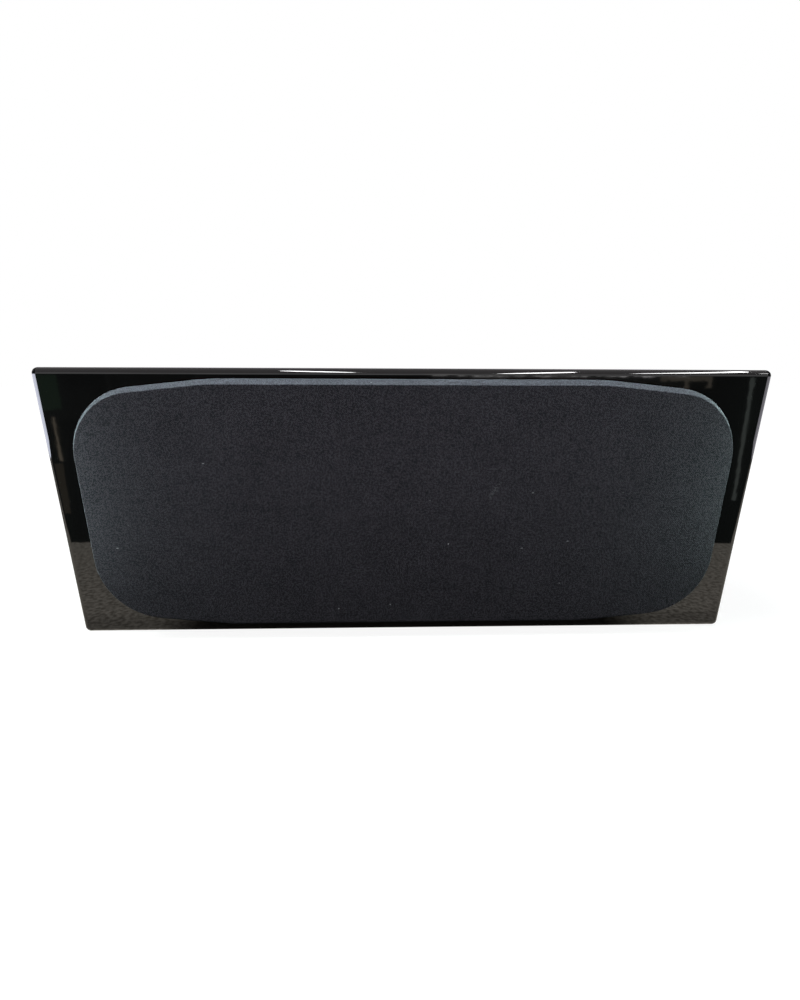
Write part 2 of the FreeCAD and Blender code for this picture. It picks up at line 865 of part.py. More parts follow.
class ConeDriver:
    """A cone driver: cast basket, roll surround, cone, coil, spider and ring-magnet motor.

    Its own frame has the origin in the plane of the flange's front and +Y along the axis, backwards.
    """

    def __init__(self, kind, label, x, z, spokes, screws):
        self.kind = kind
        self.label = label
        self.place_x = x
        self.place_z = z
        self.spokes = spokes
        self.screws = screws

    def size(self, name):
        """Return one of this kind of driver's own sizes."""
        return size(f"{self.kind}_{name}")

    def turned(self, name, points):
        """Make one turned piece from its half section of (radius, depth) points."""
        body = new_body(f"{self.label}_{name}")
        profile = new_sketch(body, "profile", "XY_Plane")
        draw_outline(profile, points)
        revolve(body, profile)
        place(body, self.place_x, front_y, self.place_z)
        return body

    def wall_radius(self, depth):
        """Return the inner radius of the basket's sloping wall at a depth."""
        top = self.size("opening_radius")
        foot = self.size("base_radius") - self.size("basket_wall")
        foot_depth = self.size("basket_depth") - self.size("base_thickness")
        flange = size("driver_flange")
        return top + (foot - top) * (depth - flange) / (foot_depth - flange)

    def make(self):
        """Make every piece of the driver."""
        self.make_basket()
        self.make_moving_parts()
        self.make_suspension()
        self.make_motor()

    def make_basket(self):
        """Make the cast basket with its spokes, spider shelf and countersunk screw holes."""
        flange = size("driver_flange")
        seat = self.size("seat_radius")
        outer_top = seat + self.size("basket_wall")
        depth = self.size("basket_depth")
        base_top = depth - self.size("base_thickness")
        shelf = self.size("spider_depth")
        shelf_under = shelf + self.size("shelf_thickness")
        body = self.turned("basket", [
            (seat, Length.of(0)),
            (frame_radius(self.kind), Length.of(0)),
            (frame_radius(self.kind), flange),
            (outer_top, flange),
            (self.size("base_radius"), depth),
            (self.size("base_hole"), depth),
            (self.size("base_hole"), base_top),
            (self.size("base_radius") - self.size("basket_wall"), base_top),
            (self.wall_radius(shelf_under), shelf_under),
            (self.size("shelf_radius"), shelf_under),
            (self.size("shelf_radius"), shelf),
            (self.wall_radius(shelf), shelf),
            (self.size("opening_radius"), flange),
            (self.size("opening_radius"), size("driver_seat_depth")),
            (seat, size("driver_seat_depth")),
        ])
        half_angle = math.pi / self.spokes
        rim = self.size("basket_wall")
        near = self.wall_radius(shelf) - rim
        far = outer_top + rim
        spoke = self.size("spoke_width") / (2 * math.cos(half_angle))
        near_half = near * math.tan(half_angle) - spoke
        far_half = far * math.tan(half_angle) - spoke
        window = new_sketch(body, "window", "XZ_Plane", -(flange + rim))
        draw_outline(window, [(-near_half, near), (near_half, near), (far_half, far), (-far_half, far)])
        cut = pocket(body, window, shelf - flange - 2 * rim)
        polar(body, cut, "Y_Axis", self.spokes)
        heads = new_sketch(body, "screw_heads", "XZ_Plane")
        shanks = new_sketch(body, "screw_shanks", "XZ_Plane")
        circle = screw_circle(self.kind)
        for angle in screw_angles(self.screws):
            x = circle * math.sin(angle)
            z = circle * math.cos(angle)
            draw_circle(heads, x, z, size("screw_head_radius") + size("screw_gap"))
            draw_circle(shanks, x, z, size("screw_radius") + size("screw_gap"))
        pocket(body, heads, size("screw_head_height"))
        pocket(body, shanks, flange)

    def make_moving_parts(self):
        """Make the cone with its cap, and the voice coil on its former."""
        rim = self.size("cone_radius")
        lip = rim - self.size("cone_lip")
        skin = self.size("cone_thickness")
        seat = size("driver_seat_depth")
        neck = self.size("neck_radius")
        neck_depth = self.size("neck_depth")
        cap = self.size("cap_radius")
        height = self.size("cap_height")
        cap_curve = (cap * cap + height * height) / (2 * height)
        self.turned("cone", [
            (rim, seat),
            (rim, seat + skin),
            (lip, seat + skin),
            (neck, neck_depth + skin),
            (cap, neck_depth + skin, cap_curve, -1),
            (Length.of(0), neck_depth - height + skin),
            (Length.of(0), neck_depth - height, cap_curve, 1),
            (cap, neck_depth),
            (neck + skin, neck_depth),
            (lip, seat),
        ])
        inner = self.size("coil_radius")
        former = inner + size("former_wall")
        winding = former + size("winding_thickness")
        start = self.winding_start()
        end = start + self.size("coil_length")
        top = neck_depth + skin
        self.turned("voice_coil", [
            (inner, top),
            (former, top),
            (former, start),
            (winding, start),
            (winding, end),
            (inner, end),
        ])

    def winding_start(self):
        """Return the depth where the winding starts, centred on the top plate."""
        centre = self.size("basket_depth") + self.size("plate_thickness") / 2
        return centre - self.size("coil_length") / 2

    def make_suspension(self):
        """Make the half-roll surround and the corrugated spider."""
        seat = size("driver_seat_depth")
        skin = self.size("surround_thickness")
        rim = self.size("cone_radius")
        opening = self.size("opening_radius")
        height = self.size("roll_height")
        under_height = height - skin / 2
        half = (opening - rim) / 2
        under_half = half - skin
        curve = (half * half + height * height) / (2 * height)
        under_curve = (under_half * under_half + under_height * under_height) / (2 * under_height)
        self.turned("surround", [
            (rim - self.size("cone_lip"), seat),
            (rim + skin, seat, under_curve, 1),
            (opening - skin, seat),
            (self.size("seat_radius") - size("screw_gap"), seat),
            (self.size("seat_radius") - size("screw_gap"), seat - skin),
            (opening, seat - skin, curve, -1),
            (rim, seat - skin),
            (rim - self.size("cone_lip"), seat - skin),
        ])
        inner = self.size("coil_radius") + size("former_wall") + size("screw_gap")
        outer = (self.size("shelf_radius") + self.wall_radius(self.size("spider_depth"))) / 2
        wave = self.size("spider_wave")
        first = inner + 2 * wave
        last = self.size("shelf_radius") - 2 * wave
        step = (last - first) / (2 * SPIDER_WAVES)
        level = self.size("spider_depth")
        under = [(inner, level)]
        for number in range(2 * SPIDER_WAVES + 1):
            offset = wave if number % 2 else Length.of(0)
            under.append((first + step * number, level - offset))
        under.append((outer, level))
        upper = [(radius, depth - skin) for radius, depth in reversed(under)]
        self.turned("spider", under + upper)

    def make_motor(self):
        """Make the top plate, ring magnet, and yoke with its vented pole."""
        inner = self.size("coil_radius")
        winding = inner + size("former_wall") + size("winding_thickness")
        front = self.size("basket_depth")
        magnet_front = front + self.size("plate_thickness")
        yoke_front = magnet_front + self.size("magnet_thickness")
        yoke_back = yoke_front + self.size("yoke_thickness")
        gap = size("coil_gap")
        self.turned("top_plate", [
            (winding + gap, front),
            (self.size("base_radius"), front),
            (self.size("base_radius"), magnet_front),
            (winding + gap, magnet_front),
        ])
        self.turned("magnet", [
            (self.size("magnet_hole"), magnet_front),
            (self.size("magnet_radius"), magnet_front),
            (self.size("magnet_radius"), yoke_front),
            (self.size("magnet_hole"), yoke_front),
        ])
        self.turned("yoke", [
            (self.size("vent_radius"), front),
            (inner - gap, front),
            (inner - gap, yoke_front),
            (self.size("yoke_radius"), yoke_front),
            (self.size("yoke_radius"), yoke_back),
            (self.size("vent_radius"), yoke_back),
        ])


class Tweeter:
    """A soft-dome tweeter behind a shallow horn plate, with a damped rear cup."""

    def turned(self, name, points):
        """Make one turned piece from its half section of (radius, depth) points."""
        body = new_body(f"tweeter_{name}")
        profile = new_sketch(body, "profile", "XY_Plane")
        draw_outline(profile, points)
        revolve(body, profile)
        place(body, 0, front_y, tweeter_z)
        return body

    def make(self):
        """Make every piece of the tweeter."""
        self.make_plate()
        self.make_dome()
        self.make_motor()

    def make_plate(self):
        """Make the front plate with its flared mouth and screw holes."""
        flange = size("driver_flange")
        throat = size("tweeter_throat_radius")
        mouth = size("tweeter_mouth_radius")
        body = self.turned("plate", [
            (throat, flange - size("tweeter_throat_edge"), size("tweeter_horn_radius"), 1),
            (mouth, Length.of(0)),
            (size("tweeter_radius"), Length.of(0)),
            (size("tweeter_radius"), flange),
            (throat, flange),
        ])
        heads = new_sketch(body, "screw_heads", "XZ_Plane")
        shanks = new_sketch(body, "screw_shanks", "XZ_Plane")
        circle = screw_circle("tweeter")
        for angle in screw_angles(TWEETER_SCREWS):
            x = circle * math.sin(angle)
            z = circle * math.cos(angle)
            draw_circle(heads, x, z, size("screw_head_radius") + size("screw_gap"))
            draw_circle(shanks, x, z, size("screw_radius") + size("screw_gap"))
        pocket(body, heads, size("screw_head_height"))
        pocket(body, shanks, flange)

    def make_dome(self):
        """Make the dome with its narrow roll and clamped rim, and the coil under it."""
        base = size("driver_flange")
        skin = size("tweeter_dome_thickness")
        radius = size("tweeter_dome_radius")
        height = size("tweeter_dome_height")
        curve = (radius * radius + height * height) / (2 * height)
        roll = size("tweeter_roll_width")
        roll_height = size("tweeter_roll_height")
        half = roll / 2
        roll_curve = (half * half + roll_height * roll_height) / (2 * roll_height)
        self.turned("dome", [
            (Length.of(0), base - height, curve, 1),
            (radius, base, roll_curve, 1),
            (radius + roll, base),
            (size("tweeter_dome_flange"), base),
            (size("tweeter_dome_flange"), base + skin),
            (radius + roll, base + skin, roll_curve, -1),
            (radius, base + skin, curve, -1),
            (Length.of(0), base - height + skin),
        ])
        coil_top = base + skin
        self.turned("voice_coil", [
            (radius - size("tweeter_coil_thickness"), coil_top),
            (radius, coil_top),
            (radius, coil_top + size("tweeter_coil_length")),
            (radius - size("tweeter_coil_thickness"), coil_top + size("tweeter_coil_length")),
        ])

    def make_motor(self):
        """Make the top plate, magnet, yoke and rear cup."""
        front = size("driver_flange") + size("tweeter_dome_thickness")
        magnet_front = front + size("tweeter_plate_thickness")
        yoke_front = magnet_front + size("tweeter_magnet_thickness")
        yoke_back = yoke_front + size("tweeter_yoke_thickness")
        radius = size("tweeter_dome_radius")
        gap = size("coil_gap")
        pole = radius - size("tweeter_coil_thickness") - gap
        self.turned("top_plate", [
            (radius + gap, front),
            (size("tweeter_plate_radius"), front),
            (size("tweeter_plate_radius"), magnet_front),
            (radius + gap, magnet_front),
        ])
        self.turned("magnet", [
            (size("tweeter_magnet_hole"), magnet_front),
            (size("tweeter_magnet_radius"), magnet_front),
            (size("tweeter_magnet_radius"), yoke_front),
            (size("tweeter_magnet_hole"), yoke_front),
        ])
        pole_top = front + size("tweeter_pole_clearance")
        self.turned("yoke", [
            (size("tweeter_vent_radius"), pole_top),
            (pole, pole_top),
            (pole, yoke_front),
            (size("tweeter_yoke_radius"), yoke_front),
            (size("tweeter_yoke_radius"), yoke_back),
            (size("tweeter_vent_radius"), yoke_back),
        ])
        cup = size("tweeter_cup_radius")
        wall = size("tweeter_cup_wall")
        cup_back = yoke_back + size("tweeter_cup_depth")
        self.turned("rear_cup", [
            (cup - wall, yoke_back),
            (cup, yoke_back),
            (cup, cup_back),
            (Length.of(0), cup_back),
            (Length.of(0), cup_back - wall),
            (cup - wall, cup_back - wall),
        ])


def make_gaskets():
    """Make the foam ring under each driver's flange."""
    rings = []
    for number, (kind, x, z, _) in enumerate(DRIVERS, start=1):
        seat_y = front_y + size("driver_flange")
        outer = add_cylinder(f"gasket_{number}", frame_radius(kind), size("gasket_thickness"))
        stand(outer, x, seat_y, z)
        inner = add_cylinder(f"gasket_hole_{number}", driver_hole(kind), size("gasket_thickness"))
        stand(inner, x, seat_y, z)
        ring = add_cut(f"gasket_ring_{number}", outer, inner)
        holes = []
        count = DRIVERS[number - 1][3]
        circle = screw_circle(kind)
        for hole, angle in enumerate(screw_angles(count), start=1):
            radius = size("screw_radius") + size("screw_gap")
            drill = add_cylinder(f"gasket_{number}_drill_{hole}", radius, size("gasket_thickness"))
            stand(drill, x + circle * math.sin(angle), seat_y, z + circle * math.cos(angle))
            holes.append(drill)
        drills = document.addObject("Part::Compound", f"gasket_{number}_drills")
        drills.Links = holes
        rings.append(add_cut(f"gasket_drilled_{number}", ring, drills))
    add_group("driver_gaskets", rings)


def make_screws():
    """Make the black screws of the drivers and the terminal tray, all of one size."""
    head_radius = size("screw_head_radius").value
    head = size("screw_head_height").value
    shank = size("screw_length").value
    head_solid = Part.makeCylinder(head_radius, head, vector(), Y_AXIS)
    socket_radius = size("screw_recess_radius").value
    socket = Part.makeCylinder(socket_radius, size("screw_recess_depth").value, vector(), Y_AXIS)
    shank_solid = Part.makeCylinder(size("screw_radius").value, shank, vector(0, head), Y_AXIS)
    screw = head_solid.fuse(shank_solid).cut(socket).removeSplitter()
    copies = []
    for x, z in screw_points():
        copies.append(screw.translated(vector(x, front_y, z)))
    rear_screw = screw.copy()
    rear_screw.rotate(vector(), Z_AXIS, 180)
    tray_head_y = panel_outer_y + size("tray_flange")
    for x, z in tray_screw_points():
        copies.append(rear_screw.translated(vector(x, tray_head_y, z)))
    group = document.addObject("Part::Feature", "cabinet_screws")
    group.Label = "cabinet_screws"
    group.Shape = Part.makeCompound(copies)
    group.Placement = FreeCAD.Placement()
    pieces.append(group)


def post_points():
    """Return each post's name and its x and z, two columns by two rows."""
    points = []
    for column, side in SIDES.items():
        for row, level in (("upper", 1), ("lower", -1)):
            x = side * size("post_pitch") / 2
            z = middle_z + level * size("post_row_pitch") / 2
            points.append((f"{row}_{column}", x, z))
    return points


def make_terminal_tray():
    """Make the recessed tray with its rounded flange and four post holes."""
    body = new_body("terminal_tray")
    flange = new_sketch(body, "flange", "XZ_Plane")
    draw_box(flange, size("tray_width"), size("tray_height"))
    pad(body, flange, size("tray_flange"), reverse=True)
    fillet(body, size("tray_corner_radius"), along(Y_AXIS))
    cup = new_sketch(body, "cup", "XZ_Plane")
    draw_box(cup, size("tray_cup_width"), size("tray_cup_height"))
    pad(body, cup, size("tray_cup_depth"))
    recess = new_sketch(body, "recess", "XZ_Plane", -size("tray_flange"))
    width = size("tray_cup_width") - 2 * size("tray_wall")
    height = size("tray_cup_height") - 2 * size("tray_wall")
    draw_rounded_box(recess, width, height, size("tray_cup_radius"))
    pocket(body, recess, size("tray_flange") + size("tray_cup_depth") - size("tray_wall"), reverse=True)
    holes = new_sketch(body, "post_holes", "XZ_Plane", size("tray_cup_depth"))
    for _, x, z in post_points():
        draw_circle(holes, x, z - middle_z, size("post_radius") + size("screw_gap"))
    pocket(body, holes, size("tray_wall"))
    heads = new_sketch(body, "screw_heads", "XZ_Plane", -size("tray_flange"))
    shanks = new_sketch(body, "screw_shanks", "XZ_Plane", -size("tray_flange"))
    for x, z in tray_screw_points():
        draw_circle(heads, x, z - middle_z, size("screw_head_radius") + size("screw_gap"))
        draw_circle(shanks, x, z - middle_z, size("screw_radius") + size("screw_gap"))
    pocket(body, heads, size("screw_head_height"), reverse=True)
    pocket(body, shanks, size("tray_flange"), reverse=True)
    place(body, 0, panel_outer_y, middle_z)


tray_floor_y = panel_outer_y - size("tray_cup_depth") + size("tray_wall")


def make_posts():
    """Make the bored post stems, their screw-down caps and the flat jumper links."""
    collar_top = size("post_collar_thickness")
    cap_foot = collar_top + size("link_thickness") + size("link_gap")
    radius = size("post_radius")
    bore = size("post_bore_radius")
    nut_back = -size("tray_wall") - size("post_nut_thickness")
    tail = -size("tray_wall") - size("post_tail_length")
    end = collar_top + size("post_length")
    stems = []
    for name, x, z in post_points():
        stem = document.addObject("PartDesign::Body", f"post_stem_{name}")
        profile = new_sketch(stem, "profile", "XY_Plane")
        draw_outline(profile, [
            (Length.of(0), tail),
            (radius, tail),
            (radius, nut_back),
            (size("post_nut_radius"), nut_back),
            (size("post_nut_radius"), -size("tray_wall")),
            (radius, -size("tray_wall")),
            (radius, Length.of(0)),
            (size("post_collar_radius"), Length.of(0)),
            (size("post_collar_radius"), collar_top),
            (radius, collar_top),
            (radius, end),
            (bore, end),
            (bore, end - size("post_bore_depth")),
            (Length.of(0), end - size("post_bore_depth")),
        ])
        revolve(stem, profile)
        place(stem, x, tray_floor_y, z)
        stems.append(stem)
        cap = new_body(f"post_cap_{name}")
        ring = new_sketch(cap, "ring", "XZ_Plane")
        draw_circle(ring, 0, 0, size("cap_radius"))
        draw_circle(ring, 0, 0, radius + size("cap_clearance"))
        pad(cap, ring, size("cap_length"), reverse=True)
        rim = size("cap_radius").value

        def outer_rim(edge, rim=rim):
            return isinstance(edge.Curve, Part.Circle) and abs(edge.Curve.Radius - rim) < NEAR

        chamfer(cap, size("cap_edge"), outer_rim)
        flute = new_sketch(cap, "flute", "XZ_Plane")
        draw_circle(flute, 0, size("cap_radius") + size("cap_flute_radius") / 2, size("cap_flute_radius"))
        cut = pocket(cap, flute, size("cap_length"))
        polar(cap, cut, "Y_Axis", CAP_FLUTES)
        place(cap, x, tray_floor_y + cap_foot, z)
    add_group("post_stems", stems)
    links = []
    for name, side in SIDES.items():
        link = document.addObject("PartDesign::Body", f"jumper_link_{name}")
        strip = new_sketch(link, "strip", "XZ_Plane")
        draw_box(strip, size("link_width"), size("post_row_pitch") + size("link_width"))
        for level in (-1, 1):
            draw_circle(strip, 0, level * size("post_row_pitch") / 2, radius + size("cap_clearance"))
        pad(link, strip, size("link_thickness"), reverse=True)
        fillet(link, size("link_width") / 2 - size("link_gap"), along(Y_AXIS))
        place(link, side * size("post_pitch") / 2, tray_floor_y + collar_top, middle_z)
        links.append(link)
    add_group("jumper_links", links)


def make_crossover():
    """Make the filter board on stand-offs with its coils, capacitors and resistors."""
    width = size("board_width")
    depth = size("board_depth")
    centre_y = size("board_place")
    board_z = floor_z + size("standoff_height")
    top_z = board_z + size("board_thickness")
    board = new_body("crossover_board")
    plan = new_sketch(board, "plan", "XY_Plane")
    draw_box(plan, width, depth)
    pad(board, plan, size("board_thickness"))
    place(board, 0, centre_y, board_z)
    legs = []
    for side in SIDES.values():
        for end in (-1, 1):
            leg = add_cylinder("standoff", size("standoff_radius"), size("standoff_height"))
            x = side * (width / 2 - size("standoff_inset"))
            y = centre_y + end * (depth / 2 - size("standoff_inset"))
            place(leg, x, y, floor_z)
            legs.append(leg)
    add_group("crossover_standoffs", legs)
    front = centre_y - depth / 2
    coils = []
    for number in range(INDUCTORS):
        outer = add_cylinder("inductor", size("inductor_radius"), size("inductor_height"))
        inner = add_cylinder("inductor_bore", size("inductor_bore"), size("inductor_height"))
        x = size("inductor_radius") - width / 2 + size("standoff_radius")
        y = front + size("inductor_radius") + size("standoff_inset") + size("inductor_pitch") * number
        for solid in (outer, inner):
            place(solid, x, y, top_z)
        coils.append(add_cut("inductor_ring", outer, inner))
    add_group("crossover_inductors", coils)
    cans = []
    for number in range(CAPACITORS):
        can = add_cylinder("capacitor", size("capacitor_radius"), size("capacitor_length"))
        can.Placement.Rotation = FreeCAD.Rotation(Y_AXIS, 90)
        y = front + size("capacitor_radius") + size("standoff_inset") + size("capacitor_pitch") * number
        place(can, size("standoff_radius"), y, top_z + size("capacitor_radius"))
        cans.append(can)
    add_group("crossover_capacitors", cans)
    bars = []
    for number in range(RESISTORS):
        bar = document.addObject("Part::Box", "resistor")
        bind(bar, "Length", size("resistor_length"))
        bind(bar, "Width", size("resistor_width"))
        bind(bar, "Height", size("resistor_height"))
        y = centre_y + depth / 2 - size("standoff_inset") - size("resistor_width")
        place(bar, size("standoff_radius"), y - size("resistor_pitch") * number, top_z)
        bars.append(bar)
    add_group("crossover_resistors", bars)


def check_pieces():
    """Stop if any object of the document failed or any sub-part has no sound shape."""
    for thing in document.Objects:
        if "Invalid" in thing.State or "Error" in thing.State:
            raise RuntimeError(f"{thing.Name} failed: {thing.State}")
    for piece in pieces:
        if piece.Shape.isNull() or not piece.Shape.isValid():
            raise RuntimeError(f"{piece.Label} has no sound shape")


def main():
    """Build the document and write one file for each sub-part."""
    make_cabinet_shell()
    make_rear_panel()
    make_dividers()
    make_damping_pads()
    make_ports()
    make_grille()
    for name, side in SIDES.items():
        ConeDriver("woofer", f"woofer_{name}", side * woofer_x, driver_z, WOOFER_SPOKES, WOOFER_SCREWS).make()
    ConeDriver("midrange", "midrange", 0, midrange_z, MIDRANGE_SPOKES, MIDRANGE_SCREWS).make()
    Tweeter().make()
    make_gaskets()
    make_screws()
    make_terminal_tray()
    make_posts()
    make_crossover()
    document.recompute()
    check_pieces()
    os.makedirs("parts", exist_ok=True)
    for piece in pieces:
        piece.Shape.exportStep(f"parts/{piece.Label}.step")
        print(piece.Label, len(piece.Shape.Solids), round(piece.Shape.Volume))


main()
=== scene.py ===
"""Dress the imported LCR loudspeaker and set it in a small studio.

The CAD solids come in as a fixed frame in metres: the front faces -Y, +X is to the right and +Z is up.
Each sub-assembly is a class that names the finishes of its solids, and the grille also builds its cloth as a
mesh. Each finish is a small class that writes its shader as Python expressions.
"""

import logging
import math
from dataclasses import dataclass, replace
from enum import Enum
from typing import Union

import bmesh
import bpy
from mathutils import Matrix, Vector


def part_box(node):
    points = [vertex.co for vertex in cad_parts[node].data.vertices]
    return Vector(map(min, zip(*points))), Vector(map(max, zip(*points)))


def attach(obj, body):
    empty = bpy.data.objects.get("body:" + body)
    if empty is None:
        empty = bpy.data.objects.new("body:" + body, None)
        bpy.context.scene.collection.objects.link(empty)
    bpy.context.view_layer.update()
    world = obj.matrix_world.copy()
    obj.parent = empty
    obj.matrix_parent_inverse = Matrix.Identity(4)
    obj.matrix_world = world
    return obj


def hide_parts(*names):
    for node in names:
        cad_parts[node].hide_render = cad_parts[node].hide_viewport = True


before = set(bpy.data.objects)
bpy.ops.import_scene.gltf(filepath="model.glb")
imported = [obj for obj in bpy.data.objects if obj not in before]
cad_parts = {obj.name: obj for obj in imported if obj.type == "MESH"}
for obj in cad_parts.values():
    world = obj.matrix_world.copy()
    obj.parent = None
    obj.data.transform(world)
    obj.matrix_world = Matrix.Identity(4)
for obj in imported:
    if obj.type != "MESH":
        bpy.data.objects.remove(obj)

LOG = logging.getLogger("loudspeaker")
MM = 0.001
MEAN = 0.5
WHITE = (1.0, 1.0, 1.0)
BLACK = (0.0, 0.0, 0.0)
PALE_WOOD = (0.62, 0.55, 0.45)

Pair = tuple[float, float]
Point = tuple[float, float, float]
Colour = tuple[float, float, float]
Term = Union["Signal", float]
Socket = Union["Signal", float, Colour]


class Axis(Enum):
    """A direction that a grain or a winding follows."""

    X = 0
    Y = 1
    Z = 2


class Signal:
    """An output socket that takes part in Python arithmetic, one Math node for each operator."""

    def __init__(self, bench: "Bench", socket: bpy.types.NodeSocket) -> None:
        """Wrap an output socket of a bench's tree."""
        self.bench = bench
        self.socket = socket

    def __add__(self, other: Term) -> "Signal":
        """Return self + other."""
        return self.bench.maths("ADD", self, other)

    def __radd__(self, other: Term) -> "Signal":
        """Return other + self."""
        return self.bench.maths("ADD", other, self)

    def __sub__(self, other: Term) -> "Signal":
        """Return self - other."""
        return self.bench.maths("SUBTRACT", self, other)

    def __rsub__(self, other: Term) -> "Signal":
        """Return other - self."""
        return self.bench.maths("SUBTRACT", other, self)

    def __mul__(self, other: Term) -> "Signal":
        """Return self * other."""
        return self.bench.maths("MULTIPLY", self, other)

    def __rmul__(self, other: Term) -> "Signal":
        """Return other * self."""
        return self.bench.maths("MULTIPLY", other, self)

    def __abs__(self) -> "Signal":
        """Return the size of the signal without its sign."""
        return self.bench.maths("ABSOLUTE", self)

    def sine(self) -> "Signal":
        """Return the sine of the signal, in radians."""
        return self.bench.maths("SINE", self)

    def most(self, other: Term) -> "Signal":
        """Return the larger of the two."""
        return self.bench.maths("MAXIMUM", self, other)

    def share(self, other: "Signal", part: float) -> "Signal":
        """Return the given part of this signal and the rest of the other."""
        return self * part + other * (1 - part)

    def rise(self, low: float, high: float) -> "Signal":
        """Step smoothly from 0 to 1.

        Args:
            low: The value at which the step starts.
            high: The value at which it ends; below low, the step falls instead.

        Returns:
            The stepped signal.
        """
        if high < low:
            return 1 - self.rise(high, low)
        sockets = {"Value": self, "From Min": low, "From Max": high}
        return self.bench.add("MapRange", {"interpolation_type": "SMOOTHSTEP"}, sockets)

    def other(self, name: str) -> "Signal":
        """Return another output of the same node."""
        return Signal(self.bench, self.socket.node.outputs[name])


class Bench:
    """The node tree of one material, with the methods that place and join its nodes."""

    speck_core: float = 0.5
    chance_step: float = 0.01

    def __init__(self, tree: bpy.types.NodeTree) -> None:
        """Take over a tree and clear it."""
        self.tree = tree
        tree.nodes.clear()

    def add(
        self,
        kind: str,
        settings: dict[str, object],
        sockets: dict[str | int, Socket],
        output: str | int = 0,
    ) -> Signal:
        """Place one node.

        Args:
            kind: The node's type without its prefix.
            settings: The node's own properties, set before its sockets.
            sockets: A value or a signal for each input, by name or number.
            output: Which output to hand on.

        Returns:
            That output as a signal.
        """
        node = self.tree.nodes.new(f"ShaderNode{kind}")
        for name, value in settings.items():
            setattr(node, name, value)
        for name, value in sockets.items():
            self.feed(node.inputs[name], value)
        return Signal(self, node.outputs[output])

    def feed(self, socket: bpy.types.NodeSocket, value: Socket) -> None:
        """Link a signal to an input, or set the input's own value.

        Args:
            socket: The input.
            value: A signal, a number or a colour.
        """
        if isinstance(value, Signal):
            self.tree.links.new(value.socket, socket)
        elif socket.type == "RGBA":
            socket.default_value = (*value, 1.0)
        else:
            socket.default_value = value

    def maths(self, operation: str, *terms: Term) -> Signal:
        """Return the result of one Math node that takes the terms in order."""
        return self.add("Math", {"operation": operation}, dict(enumerate(terms)))

    def place(self) -> Signal:
        """Return the point on the piece, in metres in the piece's own frame."""
        return self.add("TexCoord", {}, {}, "Object")

    def split(self, vector: Signal) -> list[Signal]:
        """Return the x, y and z of a vector."""
        first = self.add("SeparateXYZ", {}, {"Vector": vector}, "X")
        return [first, first.other("Y"), first.other("Z")]

    def stretch(self, vector: Signal, axis: Axis, times: float) -> Signal:
        """Lengthen a pattern along one axis.

        Args:
            vector: Where the pattern is read.
            axis: The axis to lengthen along.
            times: How many times longer.

        Returns:
            The new place to read the pattern at.
        """
        factors = [1.0, 1.0, 1.0]
        factors[axis.value] = 1 / times
        return self.add("VectorMath", {"operation": "MULTIPLY"}, {0: vector, 1: tuple(factors)})

    def noise(self, vector: Signal, size: float, detail: float = 2.0) -> Signal:
        """Return soft noise about 0.5; its size is in metres, and detail counts its finer layers."""
        return self.add("TexNoise", {}, {"Vector": vector, "Scale": 1 / size, "Detail": detail})

    def cells(self, vector: Signal, size: float) -> Signal:
        """Return the distance to the nearest of scattered points, as a share of their spacing."""
        return self.add("TexVoronoi", {}, {"Vector": vector, "Scale": 1 / size})

    def chance(self, cells: Signal) -> Signal:
        """Return a number from 0 to 1 that is different for each of the scattered points."""
        return self.add("SeparateColor", {}, {0: cells.other("Color")}, 0)

    def specks(self, vector: Signal, spacing: float, radius: float, share: float) -> Signal:
        """Return scattered round specks.

        Args:
            vector: Where they are read.
            spacing: How far apart they can lie, in metres.
            radius: How large a speck is, in metres.
            share: The share of the places that hold one.

        Returns:
            1 inside a speck and 0 outside.
        """
        distance = self.cells(vector, spacing)
        edge = radius / spacing
        held = self.chance(distance).rise(share, share - self.chance_step)
        return distance.rise(edge, edge * self.speck_core) * held

    def blend(self, factor: Term, first: Socket, second: Socket) -> Signal:
        """Return a mix of two colours: the first at 0, the second at 1."""
        settings = {"data_type": "RGBA", "clamp_factor": True}
        return self.add("Mix", settings, {0: factor, 6: first, 7: second}, 2)

    def bump(self, height: Signal, depth: float) -> Signal:
        """Return the normal of a relief from 0 to 1 that has the given depth in metres."""
        return self.add("Bump", {}, {"Distance": depth, "Height": height}, "Normal")

    def surface(self, sockets: dict[str | int, Socket]) -> Signal:
        """Return a Principled surface with the given sockets."""
        return self.add("BsdfPrincipled", {}, sockets)

    def shine(self, colour: Socket) -> Signal:
        """Return a black surface that mirrors nothing and gives off a colour."""
        return self.surface({
            "Base Color": BLACK,
            "Specular IOR Level": 0.0,
            "Emission Color": colour,
            "Emission Strength": 1.0,
        })

    def matt(self, colour: Socket) -> Signal:
        """Return a plain surface without gloss."""
        return self.surface({"Base Color": colour, "Roughness": 1.0, "Specular IOR Level": 0.0})

    def add_output(self, kind: str, surface: Signal) -> None:
        """Place an output node and link a shader to it."""
        node = self.tree.nodes.new(f"ShaderNode{kind}")
        self.tree.links.new(surface.socket, node.inputs["Surface"])


@dataclass(frozen=True)
class Finish:
    """What every finish has: a colour and a roughness."""

    colour: Colour
    roughness: float

    def lay(self, bench: Bench) -> Signal:
        """Write the finish as nodes.

        Args:
            bench: Where the nodes go.

        Returns:
            The finish's shader.
        """
        raise NotImplementedError

    def material(self, name: str) -> bpy.types.Material:
        """Make a material of the finish.

        Args:
            name: The material's name.

        Returns:
            The material.
        """
        material = bpy.data.materials.new(name)
        material.use_nodes = True
        bench = Bench(material.node_tree)
        bench.add_output("OutputMaterial", self.lay(bench))
        return material


